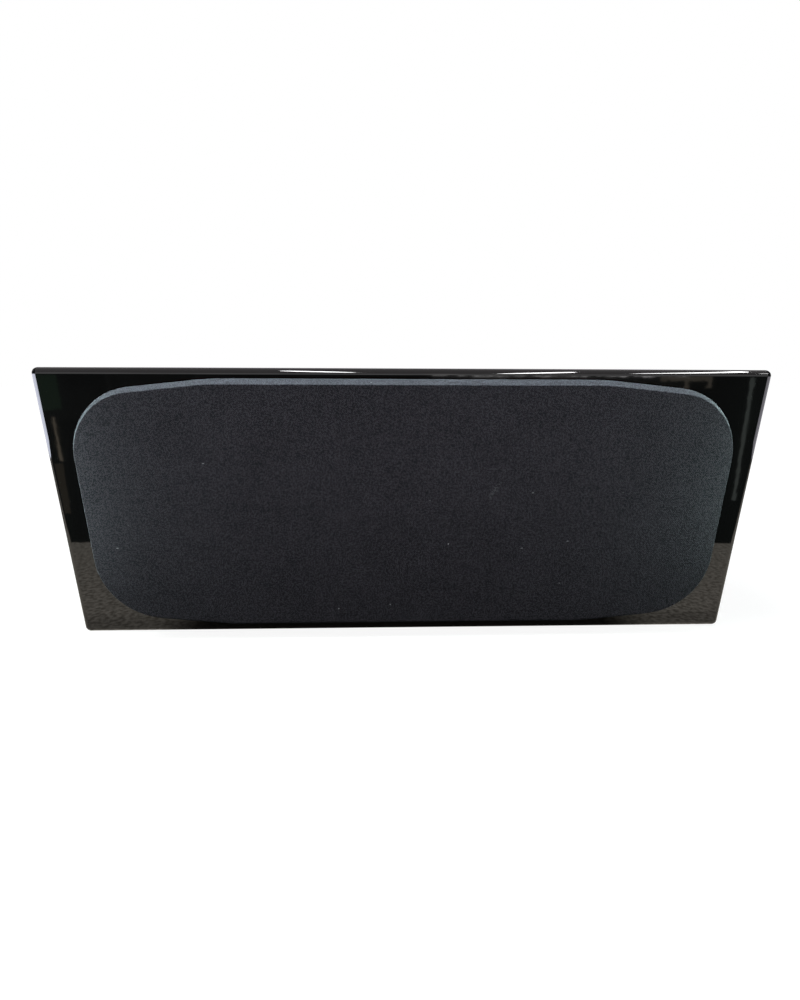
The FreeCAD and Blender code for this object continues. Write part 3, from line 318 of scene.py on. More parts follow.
@dataclass(frozen=True)
class Patch:
    """A patchy pattern of soft noise, and how far it tints and roughens a surface."""

    size: float
    detail: float
    low: float
    high: float
    axis: Axis = Axis.X
    longer: float = 1.0
    tint: float = 1.0
    rough: float = 0.0

    def lay(self, bench: Bench, place: Signal) -> Signal:
        """Lay the patches, lengthened along the axis.

        Args:
            bench: Where the nodes go.
            place: Where the noise is read.

        Returns:
            0 between the patches and 1 inside them.
        """
        if self.longer != 1.0:
            place = bench.stretch(place, self.axis, self.longer)
        return bench.noise(place, self.size, self.detail).rise(self.low, self.high)


@dataclass(frozen=True)
class Lacquer(Finish):
    """Polished lacquer: a mirror with a trace of orange peel, a soft haze and settled dust."""

    peel: float = 7 * MM
    peel_depth: float = 0.01 * MM
    haze: Patch = Patch(60 * MM, 3.0, 0.45, 0.75, rough=0.02)
    dust: Colour = (0.10, 0.10, 0.11)
    dust_spread: Pair = (9 * MM, 0.25 * MM)
    dust_share: float = 0.25
    dust_rough: float = 0.4

    def lay(self, bench: Bench) -> Signal:
        """Return a clear dark coat whose roughness rises in the haze and on the dust."""
        place = bench.place()
        haze = self.haze.lay(bench, place)
        dust = bench.specks(place, *self.dust_spread, self.dust_share)
        return bench.surface({
            "Base Color": bench.blend(dust, self.colour, self.dust),
            "Roughness": self.roughness + haze * self.haze.rough + dust * self.dust_rough,
            "IOR": 1.5,
            "Normal": bench.bump(bench.noise(place, self.peel, 1.0), self.peel_depth),
        })


@dataclass(frozen=True)
class Cloth(Finish):
    """Plain-woven cloth: threads over and under, slubs, soft mottling, sheen, lint and a smear.

    The sizes of the wander, the slubs and the mottling are counted in threads.
    """

    thread: float
    tops: Colour
    relief: float = 0.12 * MM
    polish: float = 0.08
    sheen: float = 0.0
    sheen_tint: Colour = WHITE
    sheen_roughness: float = 0.4
    middle: Pair = (0.0, 0.0)
    wrap: float = 0.6
    wander_width: float = 1.2
    wander_length: float = 9.0
    slub_width: float = 1.5
    slub_length: float = 14.0
    mottle_size: float = 40.0
    weave_part: float = 0.2
    grain_part: float = 0.48
    slub_part: float = 0.06
    mottle_part: float = 0.06
    least_lit: float = 0.05
    lint: Colour = (0.42, 0.43, 0.45)
    lint_share: float = 0.0
    lint_spread: Pair = (16 * MM, 0.55 * MM)
    fluff_spread: Pair = (11 * MM, 0.35 * MM)
    fluff_length: float = 4.0
    fluff_part: float = 0.7
    smear: float = 0.0
    smear_middle: Pair = (0.0715, 0.1365)
    smear_half: Pair = (3 * MM, 11 * MM)
    smear_lean: float = 0.55

    def flecks(self, bench: Bench, place: Signal, grain: Signal) -> Signal:
        """Scatter the lint, round and drawn out, and lay the one leaning smear.

        Args:
            bench: Where the nodes go.
            place: The point on the cloth.
            grain: The thread ends, which break up the smear.

        Returns:
            0 on bare cloth and up to 1 on lint.
        """
        x, _, z = bench.split(place)
        lint = bench.specks(place, *self.lint_spread, self.lint_share)
        longer = bench.stretch(place, Axis.X, self.fluff_length)
        fluff = bench.specks(longer, *self.fluff_spread, self.lint_share)
        above = (z - self.smear_middle[1]) * (1 / self.smear_half[1])
        lean = self.smear_lean * self.smear_half[1]
        aside = (x - self.smear_middle[0] - above * lean) * (1 / self.smear_half[0])
        smear = (above * above + aside * aside).rise(1.0, 0.0) * grain
        return lint.most(fluff * self.fluff_part).most(smear * self.smear)

    def lay(self, bench: Bench) -> Signal:
        """Return the weave, read along the cloth as it wraps over an edge."""
        place = bench.place()
        x, y, z = bench.split(place)
        drift = bench.noise(place, self.thread * self.wander_length, 2.0) - MEAN
        shift = y * self.wrap + drift * (self.thread * self.wander_width)
        turn = math.pi / self.thread
        across = ((abs(x - self.middle[0]) + shift) * turn).sine()
        along = ((abs(z - self.middle[1]) + shift) * turn).sine()
        weave = across * along * 0.5 + 0.5
        grain = Patch(self.thread, 0.0, 0.40, 0.62).lay(bench, place)
        slub = Patch(self.thread * self.slub_width, 1.0, 0.5, 0.75, Axis.Z, self.slub_length)
        slubs = slub.lay(bench, place) + replace(slub, axis=Axis.X).lay(bench, place)
        mottle = Patch(self.thread * self.mottle_size, 3.0, 0.3, 0.7).lay(bench, place)
        threads = weave * self.weave_part + grain * self.grain_part
        uneven = slubs * self.slub_part + mottle * self.mottle_part
        yarn = bench.blend(threads + uneven + self.least_lit, self.colour, self.tops)
        return bench.surface({
            "Base Color": bench.blend(self.flecks(bench, place, grain), yarn, self.lint),
            "Roughness": self.roughness - grain * self.polish,
            "Sheen Weight": self.sheen,
            "Sheen Roughness": self.sheen_roughness,
            "Sheen Tint": self.sheen_tint,
            "Specular IOR Level": 0.0,
            "Normal": bench.bump(weave.share(grain, 0.7), self.relief),
        })


@dataclass(frozen=True)
class Moulded(Finish):
    """Moulded plastic: a spark-eroded grain, faint flow marks and scuffs on the high spots."""

    grain: float = 0.7 * MM
    grain_rough: float = 0.12
    depth: float = 0.03 * MM
    flow: Patch = Patch(30 * MM, 3.0, 0.3, 0.7, Axis.Z, 3.0, tint=0.25)
    scuff: Colour = (0.16, 0.16, 0.165)
    scuffs: Patch = Patch(6 * MM, 4.0, 0.62, 0.74, Axis.X, 5.0, tint=0.12, rough=0.15)

    def lay(self, bench: Bench) -> Signal:
        """Return the grained plastic."""
        place = bench.place()
        grain = bench.noise(place, self.grain, 2.0)
        scuffs = self.scuffs.lay(bench, place)
        deeper = tuple(channel * (1 - self.flow.tint) for channel in self.colour)
        body = bench.blend(self.flow.lay(bench, place), self.colour, deeper)
        worn = (grain - MEAN) * self.grain_rough + scuffs * self.scuffs.rough
        return bench.surface({
            "Base Color": bench.blend(scuffs * self.scuffs.tint, body, self.scuff),
            "Roughness": self.roughness + worn,
            "IOR": 1.49,
            "Normal": bench.bump(grain, self.depth),
        })


@dataclass(frozen=True)
class Rubbery(Finish):
    """Rubber or foam: fine pores and a pale bloom that gathers in patches."""

    pore: float = 0.5 * MM
    depth: float = 0.05 * MM
    bloom: Colour = (0.09, 0.09, 0.095)
    blooms: Patch = Patch(25 * MM, 4.0, 0.5, 0.8, tint=0.35, rough=0.1)

    def lay(self, bench: Bench) -> Signal:
        """Return the pored surface."""
        place = bench.place()
        pores = bench.cells(place, self.pore).rise(0.1, 0.6)
        blooms = self.blooms.lay(bench, place)
        return bench.surface({
            "Base Color": bench.blend(blooms * self.blooms.tint, self.colour, self.bloom),
            "Roughness": self.roughness + blooms * self.blooms.rough,
            "Specular IOR Level": 0.4,
            "Normal": bench.bump(pores, self.depth),
        })


@dataclass(frozen=True)
class Metal(Finish):
    """Bare or plated metal: tool marks along one axis, tarnish and fine scratches."""

    tarnish: Colour
    marks: float = 0.4 * MM
    mark_length: float = 20.0
    mark_rough: float = 0.1
    axis: Axis = Axis.Y
    depth: float = 0.006 * MM
    tarnished: Patch = Patch(9 * MM, 4.0, 0.5, 0.78, tint=0.6, rough=0.18)
    scratches: Patch = Patch(0.8 * MM, 1.0, 0.66, 0.72, Axis.X, 30.0, rough=0.15)

    def lay(self, bench: Bench) -> Signal:
        """Return the worked metal."""
        place = bench.place()
        turned = bench.stretch(place, self.axis, 1 / self.mark_length)
        marks = bench.noise(turned, self.marks * self.mark_length, 3.0)
        tarnished = self.tarnished.lay(bench, place)
        scratches = self.scratches.lay(bench, place)
        worn = tarnished * self.tarnished.rough + scratches * self.scratches.rough
        return bench.surface({
            "Base Color": bench.blend(tarnished * self.tarnished.tint, self.colour, self.tarnish),
            "Metallic": 1.0,
            "Roughness": self.roughness + worn + (marks - MEAN) * self.mark_rough,
            "Normal": bench.bump(marks, self.depth),
        })


@dataclass(frozen=True)
class Casting(Finish):
    """Powder-coated casting: a pebbled coat over slightly uneven metal."""

    pebble: float = 0.6 * MM
    depth: float = 0.06 * MM
    uneven: float = 14 * MM
    uneven_rough: float = 0.1
    worn: Colour = (0.13, 0.13, 0.135)
    wear: Patch = Patch(3 * MM, 4.0, 0.66, 0.76, tint=0.4)
    coat: float = 0.25
    coat_lost: float = 0.2

    def lay(self, bench: Bench) -> Signal:
        """Return the pebbled coat."""
        place = bench.place()
        pebble = bench.cells(place, self.pebble).rise(0.0, 0.75)
        uneven = bench.noise(place, self.uneven, 3.0)
        wear = self.wear.lay(bench, place)
        return bench.surface({
            "Base Color": bench.blend(wear * self.wear.tint, self.colour, self.worn),
            "Roughness": self.roughness + (uneven - MEAN) * self.uneven_rough,
            "Coat Weight": self.coat - wear * self.coat_lost,
            "Normal": bench.bump(pebble.share(uneven, 0.6), self.depth),
        })


@dataclass(frozen=True)
class Mineral(Finish):
    """Fired or pressed mineral: fine crystals, paler chips and dull dust."""

    crystal: float = 0.5 * MM
    crystal_tint: float = 0.3
    chip: Colour = (0.20, 0.20, 0.20)
    chips: Patch = Patch(4 * MM, 3.0, 0.68, 0.72, tint=0.5)
    dust: Patch = Patch(22 * MM, 3.0, 0.4, 0.8, tint=0.15, rough=0.1)
    depth: float = 0.04 * MM

    def lay(self, bench: Bench) -> Signal:
        """Return the crystalline body."""
        place = bench.place()
        crystal = bench.cells(place, self.crystal)
        chips = self.chips.lay(bench, place)
        dust = self.dust.lay(bench, place)
        pale = bench.chance(crystal) * self.crystal_tint + dust * self.dust.tint
        speckled = bench.blend(pale, self.colour, self.chip)
        return bench.surface({
            "Base Color": bench.blend(chips * self.chips.tint, speckled, self.chip),
            "Roughness": self.roughness + dust * self.dust.rough,
            "Normal": bench.bump(crystal.share(chips, 0.7), self.depth),
        })


@dataclass(frozen=True)
class Fibre(Finish):
    """Pressed, matted or pulped fibre: crossing strands of two colours over a cloudy ground."""

    strand_colour: Colour
    strand: float = 0.5 * MM
    reach: float = 12.0
    depth: float = 0.06 * MM
    coat: float = 0.0
    polish: float = 0.08
    cloud_size: float = 60.0

    def lay(self, bench: Bench) -> Signal:
        """Return the crossed strands."""
        place = bench.place()
        runs = [Patch(self.strand, 2.0, 0.48, 0.68, axis, self.reach).lay(bench, place) for axis in Axis]
        strands = runs[0].most(runs[1]).most(runs[2])
        cloud = Patch(self.strand * self.cloud_size, 3.0, 0.3, 0.7).lay(bench, place)
        return bench.surface({
            "Base Color": bench.blend(strands.share(cloud, 0.7), self.colour, self.strand_colour),
            "Roughness": self.roughness - strands * self.polish,
            "Coat Weight": self.coat,
            "Normal": bench.bump(strands, self.depth),
        })


@dataclass(frozen=True)
class Winding(Finish):
    """Enamelled wire wound in close turns."""

    enamel: Colour
    pitch: float
    axis: Axis
    cloud: Patch = Patch(8 * MM, 3.0, 0.35, 0.7, rough=0.1)
    groove: float = 0.3

    def lay(self, bench: Bench) -> Signal:
        """Return the turns, counted along the winding's axis."""
        place = bench.place()
        step = bench.split(place)[self.axis.value] * (2 * math.pi / self.pitch)
        turns = step.sine() * 0.5 + 0.5
        cloud = self.cloud.lay(bench, place)
        return bench.surface({
            "Base Color": bench.blend(cloud.share(1 - turns, 0.5), self.colour, self.enamel),
            "Metallic": 0.85,
            "Roughness": self.roughness + cloud * self.cloud.rough,
            "Coat Weight": 0.4,
            "Normal": bench.bump(turns, self.pitch * self.groove),
        })


@dataclass(frozen=True)
class Circuit(Finish):
    """A circuit board: solder mask over copper runs, with tinned pads."""

    run: Colour = (0.05, 0.20, 0.07)
    run_tint: float = 0.8
    run_pitch: float = 5 * MM
    jog: Patch = Patch(18 * MM, 0.0, 0.47, 0.53, Axis.Y, 4.0)
    jog_width: float = 2.5 * MM
    pad: Colour = (0.62, 0.60, 0.55)
    pad_spread: Pair = (9 * MM, 1.4 * MM)
    pad_share: float = 0.5
    pad_rough: float = 0.1
    depth: float = 0.05 * MM

    def lay(self, bench: Bench) -> Signal:
        """Return the masked board."""
        place = bench.place()
        bent = bench.split(place)[Axis.X.value] + self.jog.lay(bench, place) * self.jog_width
        runs = (bent * (math.pi / self.run_pitch)).sine().rise(0.1, 0.3)
        pads = bench.specks(place, *self.pad_spread, self.pad_share)
        mask = bench.blend(runs * self.run_tint, self.colour, self.run)
        return bench.surface({
            "Base Color": bench.blend(pads, mask, self.pad),
            "Metallic": pads * 0.9,
            "Roughness": self.roughness + pads * self.pad_rough,
            "Coat Weight": 0.3,
            "Normal": bench.bump(runs.share(pads, 0.4), self.depth),
        })


@dataclass(frozen=True)
class Glow(Finish):
    """A card that gives off an even light."""

    level: float = 1.0

    def lay(self, bench: Bench) -> Signal:
        """Return the plain emission."""
        return bench.add("Emission", {}, {"Color": self.colour, "Strength": self.level})


@dataclass(frozen=True)
class Slope(Finish):
    """A card whose light falls off evenly from front to back."""

    far: Colour = BLACK
    start: float = 0.0
    stop: float = 1.0

    def lay(self, bench: Bench) -> Signal:
        """Return the falling emission."""
        y = bench.split(bench.place())[Axis.Y.value]
        return bench.shine(bench.blend(y.rise(self.start, self.stop), self.colour, self.far))


@dataclass(frozen=True)
class Dusk(Finish):
    """A card of the room: an even ground with upright bands and faint clouds of a second colour."""

    band: Colour = (0.16, 0.165, 0.16)
    band_width: float = 0.05
    band_length: float = 30.0
    cloud: Patch = Patch(0.35, 3.0, 0.4, 0.75)

    def lay(self, bench: Bench) -> Signal:
        """Return the banded light."""
        place = bench.place()
        bands = Patch(self.band_width, 2.0, 0.58, 0.8, Axis.Z, self.band_length).lay(bench, place)
        cloud = self.cloud.lay(bench, place)
        return bench.shine(bench.blend(bands.share(cloud, 0.7), self.colour, self.band))


@dataclass(frozen=True)
class PaleFloor(Finish):
    """A pale floor: white to the camera with a soft shadow, a fibrous mat with a painted shadow at the
    cabinet's foot where it shows in gloss.
    """

    mottle: Colour = (0.64, 0.58, 0.49)
    fleck: Patch = Patch(4.5 * MM, 4.0, 0.32, 0.68)
    beyond: Colour = (0.045, 0.047, 0.044)
    mat_edge: float = -0.397
    mat_blur: float = 1 * MM
    mat_foot: float = -0.15
    mat_skew: float = 0.021
    # Where and how deep the painted shadow lies on the mirrored mat at the cabinet's foot.
    foot_start: float = -0.19
    foot_stop: float = -0.163
    painted_grille_shadow: float = 0.62
    painted_foot_shadow: float = 0.33
    foot_half: float = 0.25
    foot_fade: float = 0.06
    shadow: float = 0.14
    paper: float = 1.045
    bounce: Colour = (0.015, 0.015, 0.015)

    def mat(self, bench: Bench) -> Signal:
        """Draw the mat: flecked, with a painted shadow at the cabinet's foot and under the grille, and
        ending at its front edge.

        Args:
            bench: Where the nodes go.

        Returns:
            The mat's light.
        """
        place = bench.place()
        x, y, _ = bench.split(place)
        # Painted shadow: the mat darkens near the cabinet's foot, most under the grille's overhang, in place
        # of the shade that falls there.
        under = abs(x).rise(self.foot_half, self.foot_half - self.foot_fade) * self.painted_grille_shadow
        foot = y.rise(self.foot_start, self.foot_stop) * (under + self.painted_foot_shadow)
        pile = bench.blend(self.fleck.lay(bench, place), self.colour, self.mottle)
        line = y - x * self.mat_skew
        edge = line.rise(self.mat_edge - self.mat_blur, self.mat_edge + self.mat_blur)
        front = edge * y.rise(0.0, self.mat_foot)
        return bench.blend(front, self.beyond, bench.blend(foot, pile, BLACK))

    def lay(self, bench: Bench) -> Signal:
        """Return the floor, sorted by what looks at it."""
        path = bench.add("LightPath", {}, {}, "Is Camera Ray")
        lit = bench.matt(WHITE)
        paper = bench.add("Emission", {}, {"Color": WHITE, "Strength": self.paper})
        seen = bench.add("MixShader", {}, {0: self.shadow, 1: paper, 2: lit})
        mirrored = bench.shine(self.mat(bench))
        glossy = path.other("Is Glossy Ray")
        unseen = bench.add("MixShader", {}, {0: glossy, 1: bench.matt(self.bounce), 2: mirrored})
        return bench.add("MixShader", {}, {0: path, 1: unseen, 2: seen})


class Paintshop:
    """Keeps one material for each finish and lays it on the solids."""

    def __init__(self) -> None:
        """Start with no materials mixed."""
        self.mixed: dict[Finish, bpy.types.Material] = {}

    def mix(self, name: str, finish: Finish) -> bpy.types.Material:
        """Return the material of a finish.

        Args:
            name: The name that a new material takes.
            finish: The finish.

        Returns:
            The material, made at the first call.
        """
        if finish not in self.mixed:
            self.mixed[finish] = finish.material(name)
        return self.mixed[finish]

    def coat(self, node: str, finish: Finish) -> None:
        """Lay a finish on a CAD solid.

        Args:
            node: The solid's node.
            finish: The finish.
        """
        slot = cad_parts[node].material_slots[0]
        slot.material = self.mix(slot.material.name + "_finish", finish)
        LOG.info("coated %s", node)


def new_piece(name: str, shape: bmesh.types.BMesh, material: bpy.types.Material) -> bpy.types.Object:
    """Make an object of a finished shape.

    Args:
        name: The object's name.
        shape: The shape, freed afterwards.
        material: The object's only material.

    Returns:
        The object, linked to the scene.
    """
    mesh = bpy.data.meshes.new(name)
    shape.to_mesh(mesh)
    shape.free()
    mesh.materials.append(material)
    piece = bpy.data.objects.new(name, mesh)
    bpy.context.scene.collection.objects.link(piece)
    return piece


def flat_piece(name: str, corners: list[Vector], material: bpy.types.Material) -> bpy.types.Object:
    """Make an object of one flat face.

    Args:
        name: The object's name.
        corners: The face's corners in order.
        material: The object's only material.

    Returns:
        The object, linked to the scene.
    """
    shape = bmesh.new()
    shape.faces.new([shape.verts.new(corner) for corner in corners])
    return new_piece(name, shape, material)


class Assembly:
    """A sub-assembly of CAD solids, each with its finish."""

    prefix: str = ""

    def coats(self) -> dict[str, Finish]:
        """Return the finish of each of its nodes, named without the prefix."""
        raise NotImplementedError

    def build(self, shop: Paintshop) -> None:
        """Lay the finishes on the solids.

        Args:
            shop: Where the materials come from.
        """
        for part, finish in self.coats().items():
            shop.coat(self.prefix + part, finish)
        LOG.info("finished %s", type(self).__name__)


@dataclass
class Grille(Assembly):
    """The grille: its cloth as a stretched sheet, and the board, pegs and sockets behind it."""

    flat: float = 318 * MM
    end_drop: float = 11.6 * MM
    corner_radius: float = 58 * MM
    shoulder_radius: float = 180 * MM
    bevel: float = 4 * MM
    bevel_depth: float = 6.6 * MM
    fold_radius: float = 1.0 * MM
    cloth_thickness: float = 0.8 * MM
    hem: float = 20 * MM
    corner_steps: int = 20
    shoulder_steps: int = 5
    fold_steps: int = 4
    face_rings: tuple[float, ...] = (10 * MM, 22 * MM, 40 * MM)

    def __post_init__(self) -> None:
        """Read the cloth's box from the frame."""
        low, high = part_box("grille_cloth")
        self.half_width = (high.x - low.x) / 2
        self.half_height = (high.z - low.z) / 2
        self.middle_z = (high.z + low.z) / 2
        self.front_y = low.y
        self.back_y = high.y

    def weave(self) -> Cloth:
        """Return the finish of the cloth."""
        return Cloth(
            colour=(0.010, 0.0095, 0.0115),
            roughness=0.85,
            thread=0.9 * MM,
            tops=(0.071, 0.068, 0.080),
            sheen=0.2,
            sheen_tint=(0.82, 0.95, 1.0),
            lint_share=0.45,
            smear=0.09,
            middle=(0.0, self.middle_z),
        )

    def outline(self, inset: float) -> list[Pair]:
        """Return the grille's outline at an inset: level in the middle, falling to round ends.

        Args:
            inset: How far inside the cloth's outer edge.

        Returns:
            The x and z of the points, anticlockwise from the right end.
        """
        run = self.half_width - self.flat / 2
        slope = math.atan2(self.end_drop, run)
        top = self.half_height - inset
        end_x = self.half_width - inset
        flat = self.flat / 2 - inset * math.tan(slope / 2)
        end_z = top - (end_x - flat) * math.tan(slope)
        corner = self.corner_radius - inset
        shoulder = self.shoulder_radius - inset
        reach = corner * math.tan((math.pi / 2 - slope) / 2)
        quarter = []
        for step in range(self.corner_steps + 1):
            angle = (math.pi / 2 - slope) * step / self.corner_steps
            x = end_x - corner + corner * math.cos(angle)
            quarter.append((x, end_z - reach + corner * math.sin(angle)))
        for step in range(self.shoulder_steps + 1):
            angle = math.pi / 2 - slope * (1 - step / self.shoulder_steps)
            x = flat - shoulder * math.tan(slope / 2) + shoulder * math.cos(angle)
            quarter.append((x, top - shoulder + shoulder * math.sin(angle)))
        left = [(-x, z) for x, z in reversed(quarter)]
        upper = quarter + left
        lower = [(-x, -z) for x, z in upper]
        return upper + lower

    def profile(self) -> list[Pair]:
        """Return the cloth's inset and y from the baffle to the front, with rounded folds.

        Returns:
            The points, in order.
        """
        radius = self.fold_radius
        tilt = math.atan2(self.bevel, self.bevel_depth)
        rest = math.pi / 2 - tilt
        rim = self.front_y + self.bevel_depth + radius * math.tan(tilt / 2)
        face = self.bevel + radius * math.tan(rest / 2)
        points = [(0.0, self.back_y)]
        for step in range(self.fold_steps + 1):
            angle = tilt * step / self.fold_steps
            points.append((radius * (1 - math.cos(angle)), rim - radius * math.sin(angle)))
        for step in range(self.fold_steps + 1):
            angle = tilt + rest * step / self.fold_steps
            y = self.front_y + radius * (1 - math.sin(angle))
            points.append((face - radius * math.cos(angle), y))
        for inset in self.face_rings:
            points.append((inset, self.front_y))
        return points

    def build_cloth(self, shop: Paintshop) -> None:
        """Build the stretched cloth in place of its CAD solid.

        Args:
            shop: Where its material comes from.
        """
        shape = bmesh.new()
        rings = []
        for inset, y in self.profile():
            points = self.outline(inset)
            rings.append([shape.verts.new((x, y, self.middle_z + z)) for x, z in points])
        for outer, inner in zip(rings, rings[1:]):
            count = len(outer)
            for index in range(count):
                following = (index + 1) % count
                shape.faces.new((outer[index], outer[following], inner[following], inner[index]))
        shape.faces.new(rings[-1])
        bmesh.ops.recalc_face_normals(shape, faces=shape.faces)
        for face in shape.faces:
            face.smooth = True
        piece = new_piece("grille_cloth_sheet", shape, shop.mix("grille_cloth_finish", self.weave()))
        solidify = piece.modifiers.new("thickness", "SOLIDIFY")
        solidify.thickness = self.cloth_thickness
        solidify.offset = -1.0
        piece.modifiers.new("normals", "WEIGHTED_NORMAL").keep_sharp = True
        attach(piece, "grille")
        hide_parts("grille_cloth")

    def coats(self) -> dict[str, Finish]:
        """Return the finish of what carries the cloth."""
        return {
            "grille_frame": Fibre((0.020, 0.018, 0.016), 0.7, (0.05, 0.045, 0.04)),
            "grille_pegs": Moulded((0.02, 0.02, 0.021), 0.4),
            "grille_sockets": Rubbery((0.018, 0.018, 0.019), 0.7),
        }

    def build(self, shop: Paintshop) -> None:
        """Build the cloth and finish what carries it."""
        self.build_cloth(shop)
        super().build(shop)


STEEL = Metal((0.56, 0.57, 0.58), 0.34, (0.30, 0.29, 0.27))
FERRITE = Mineral((0.045, 0.045, 0.048), 0.62)


class Cabinet(Assembly):
    """The lacquered carcass, its rear panel, the inner boards and the ports."""

    def coats(self) -> dict[str, Finish]:
        """Return the finish of every board, port and fastener of the carcass."""
        coats = {
            "cabinet_shell": Lacquer((0.0012, 0.0012, 0.0013), 0.03),
            "rear_panel": Casting((0.021, 0.021, 0.022), 0.5, pebble=0.9 * MM, depth=0.03 * MM),
            "driver_gaskets": Rubbery((0.02, 0.02, 0.02), 0.9, pore=0.8 * MM),
            "cabinet_screws": Metal((0.05, 0.05, 0.052), 0.38, (0.02, 0.02, 0.02)),
        }
        for side in ("left", "right"):
            coats[f"divider_{side}"] = Fibre((0.40, 0.29, 0.18), 0.8, (0.55, 0.43, 0.30))
            coats[f"damping_pad_{side}"] = Fibre(
                (0.55, 0.55, 0.53), 0.95, (0.80, 0.80, 0.78), strand=1.2 * MM, depth=0.8 * MM
            )
            coats[f"port_tube_{side}"] = Moulded((0.019, 0.019, 0.020), 0.42)
        return coats


@dataclass
class ConeDriver(Assembly):
    """A cone driver: basket, cone, suspension and motor."""

    prefix: str

    def coats(self) -> dict[str, Finish]:
        """Return the finish of each of the driver's solids."""
        return {
            "basket": Casting((0.016, 0.016, 0.017), 0.42),
            "cone": Fibre((0.012, 0.012, 0.013), 0.6, (0.035, 0.035, 0.037), strand=0.7 * MM, coat=0.15),
            "surround": Rubbery((0.012, 0.012, 0.013), 0.5, pore=0.35 * MM, depth=0.02 * MM),
            "spider": Cloth((0.30, 0.19, 0.06), 0.85, 0.8 * MM, (0.52, 0.36, 0.14)),
            "voice_coil": Winding((0.72, 0.34, 0.16), 0.3, (0.42, 0.16, 0.07), 0.35 * MM, Axis.Y),
            "top_plate": STEEL,
            "magnet": FERRITE,
            "yoke": STEEL,
        }


class Tweeter(Assembly):
    """The dome tweeter: faceplate, dome, motor and rear cup."""

    prefix: str = "tweeter_"

    def coats(self) -> dict[str, Finish]:
        """Return the finish of each of the tweeter's solids."""
        return {
            "plate": Moulded((0.014, 0.014, 0.015), 0.38, grain=0.4 * MM),
            "dome": Cloth(
                (0.02, 0.02, 0.022), 0.6, 0.45 * MM, (0.06, 0.06, 0.064), sheen=0.4, relief=0.03 * MM
            ),
            "voice_coil": Winding((0.72, 0.34, 0.16), 0.3, (0.42, 0.16, 0.07), 0.2 * MM, Axis.Y),
            "top_plate": STEEL,
            "magnet": FERRITE,
            "yoke": STEEL,
            "rear_cup": Moulded((0.02, 0.02, 0.02), 0.5),
        }


class Terminals(Assembly):
    """The recessed tray at the back with its plated posts, screw caps and links."""

    def coats(self) -> dict[str, Finish]:
        """Return the finish of the tray, posts, links and caps."""
        gold = Metal((0.95, 0.70, 0.30), 0.22, (0.62, 0.42, 0.16), marks=0.25 * MM)
        red = Moulded((0.34, 0.012, 0.012), 0.3, grain=0.5 * MM, scuff=(0.5, 0.2, 0.2))
        black = Moulded((0.012, 0.012, 0.013), 0.3, grain=0.5 * MM)
        return {
            "terminal_tray": Moulded((0.019, 0.019, 0.0195), 0.45),
            "post_stems": gold,
            "jumper_links": gold,
            "post_cap_upper_right": red,
            "post_cap_upper_left": black,
            "post_cap_lower_right": red,
            "post_cap_lower_left": black,
        }


class Crossover(Assembly):
    """The crossover network inside the cabinet."""

    prefix: str = "crossover_"

    def coats(self) -> dict[str, Finish]:
        """Return the finish of the board and its parts."""
        return {
            "board": Circuit((0.012, 0.09, 0.035), 0.35),
            "standoffs": Moulded((0.75, 0.74, 0.70), 0.5, scuff=(0.6, 0.6, 0.58)),
            "inductors": Winding((0.80, 0.38, 0.18), 0.28, (0.45, 0.17, 0.07), 1.2 * MM, Axis.Z),
            "capacitors": Moulded((0.55, 0.33, 0.06), 0.28, grain=1.5 * MM, scuff=(0.7, 0.55, 0.3)),
            "resistors": Mineral((0.62, 0.61, 0.57), 0.75, chip=(0.80, 0.79, 0.75)),
        }


@dataclass
class Viewpoint:
    """The photograph's camera, as read from the cabinet's edges in an 800 by 1000 picture."""

    place: Point = (-0.0204, -0.5773, 0.2345)
    pitch: float = 18.58
    yaw: float = 1.784
    roll: float = 0.249
    focal_pixels: float = 511.8
    axis_row: float = 540.0
    picture_width: float = 800.0
    picture_height: float = 1000.0
    sensor: float = 36.0
    nearest: float = 0.01

    def build(self) -> None:
        """Make the camera and hand it to the scene."""
        pitch, yaw, roll = (math.radians(angle) for angle in (self.pitch, self.yaw, self.roll))
        level = Vector((math.cos(yaw), -math.sin(yaw), 0.0))
        forward = Vector((math.sin(yaw), math.cos(yaw), 0.0))
        ahead = forward * math.cos(pitch) - Vector((0.0, 0.0, math.sin(pitch)))
        above = level.cross(ahead)
        right = math.cos(roll) * level + math.sin(roll) * above
        up = math.cos(roll) * above - math.sin(roll) * level
        data = bpy.data.cameras.new("photograph")
        data.sensor_fit = "HORIZONTAL"
        data.sensor_width = self.sensor
        data.lens = self.focal_pixels / self.picture_width * self.sensor
        data.shift_y = (self.axis_row - self.picture_height / 2) / self.picture_width
        data.clip_start = self.nearest
        camera = bpy.data.objects.new("photograph", data)
        turn = Matrix((right, up, -ahead)).transposed().to_4x4()
        camera.matrix_world = Matrix.Translation(self.place) @ turn
        bpy.context.scene.collection.objects.link(camera)
        bpy.context.scene.camera = camera
        LOG.info("placed the camera")


@dataclass(frozen=True)
class Glimpse:
    """A flat upright shape of the room that shows faintly in the gloss."""

    y: float
    corners: tuple[Pair, ...]
    colour: Colour


@dataclass(frozen=True)
class Panel:
    """A soft light that shows in no gloss."""

    name: str
    place: Point
    target: Point
    size: Pair
    power: float
    colour: Colour


@dataclass(frozen=True)
class Lamp:
    """A long oval lamp: the x and y of its two ends, and half its width."""

    start: Pair
    stop: Pair
    half: float


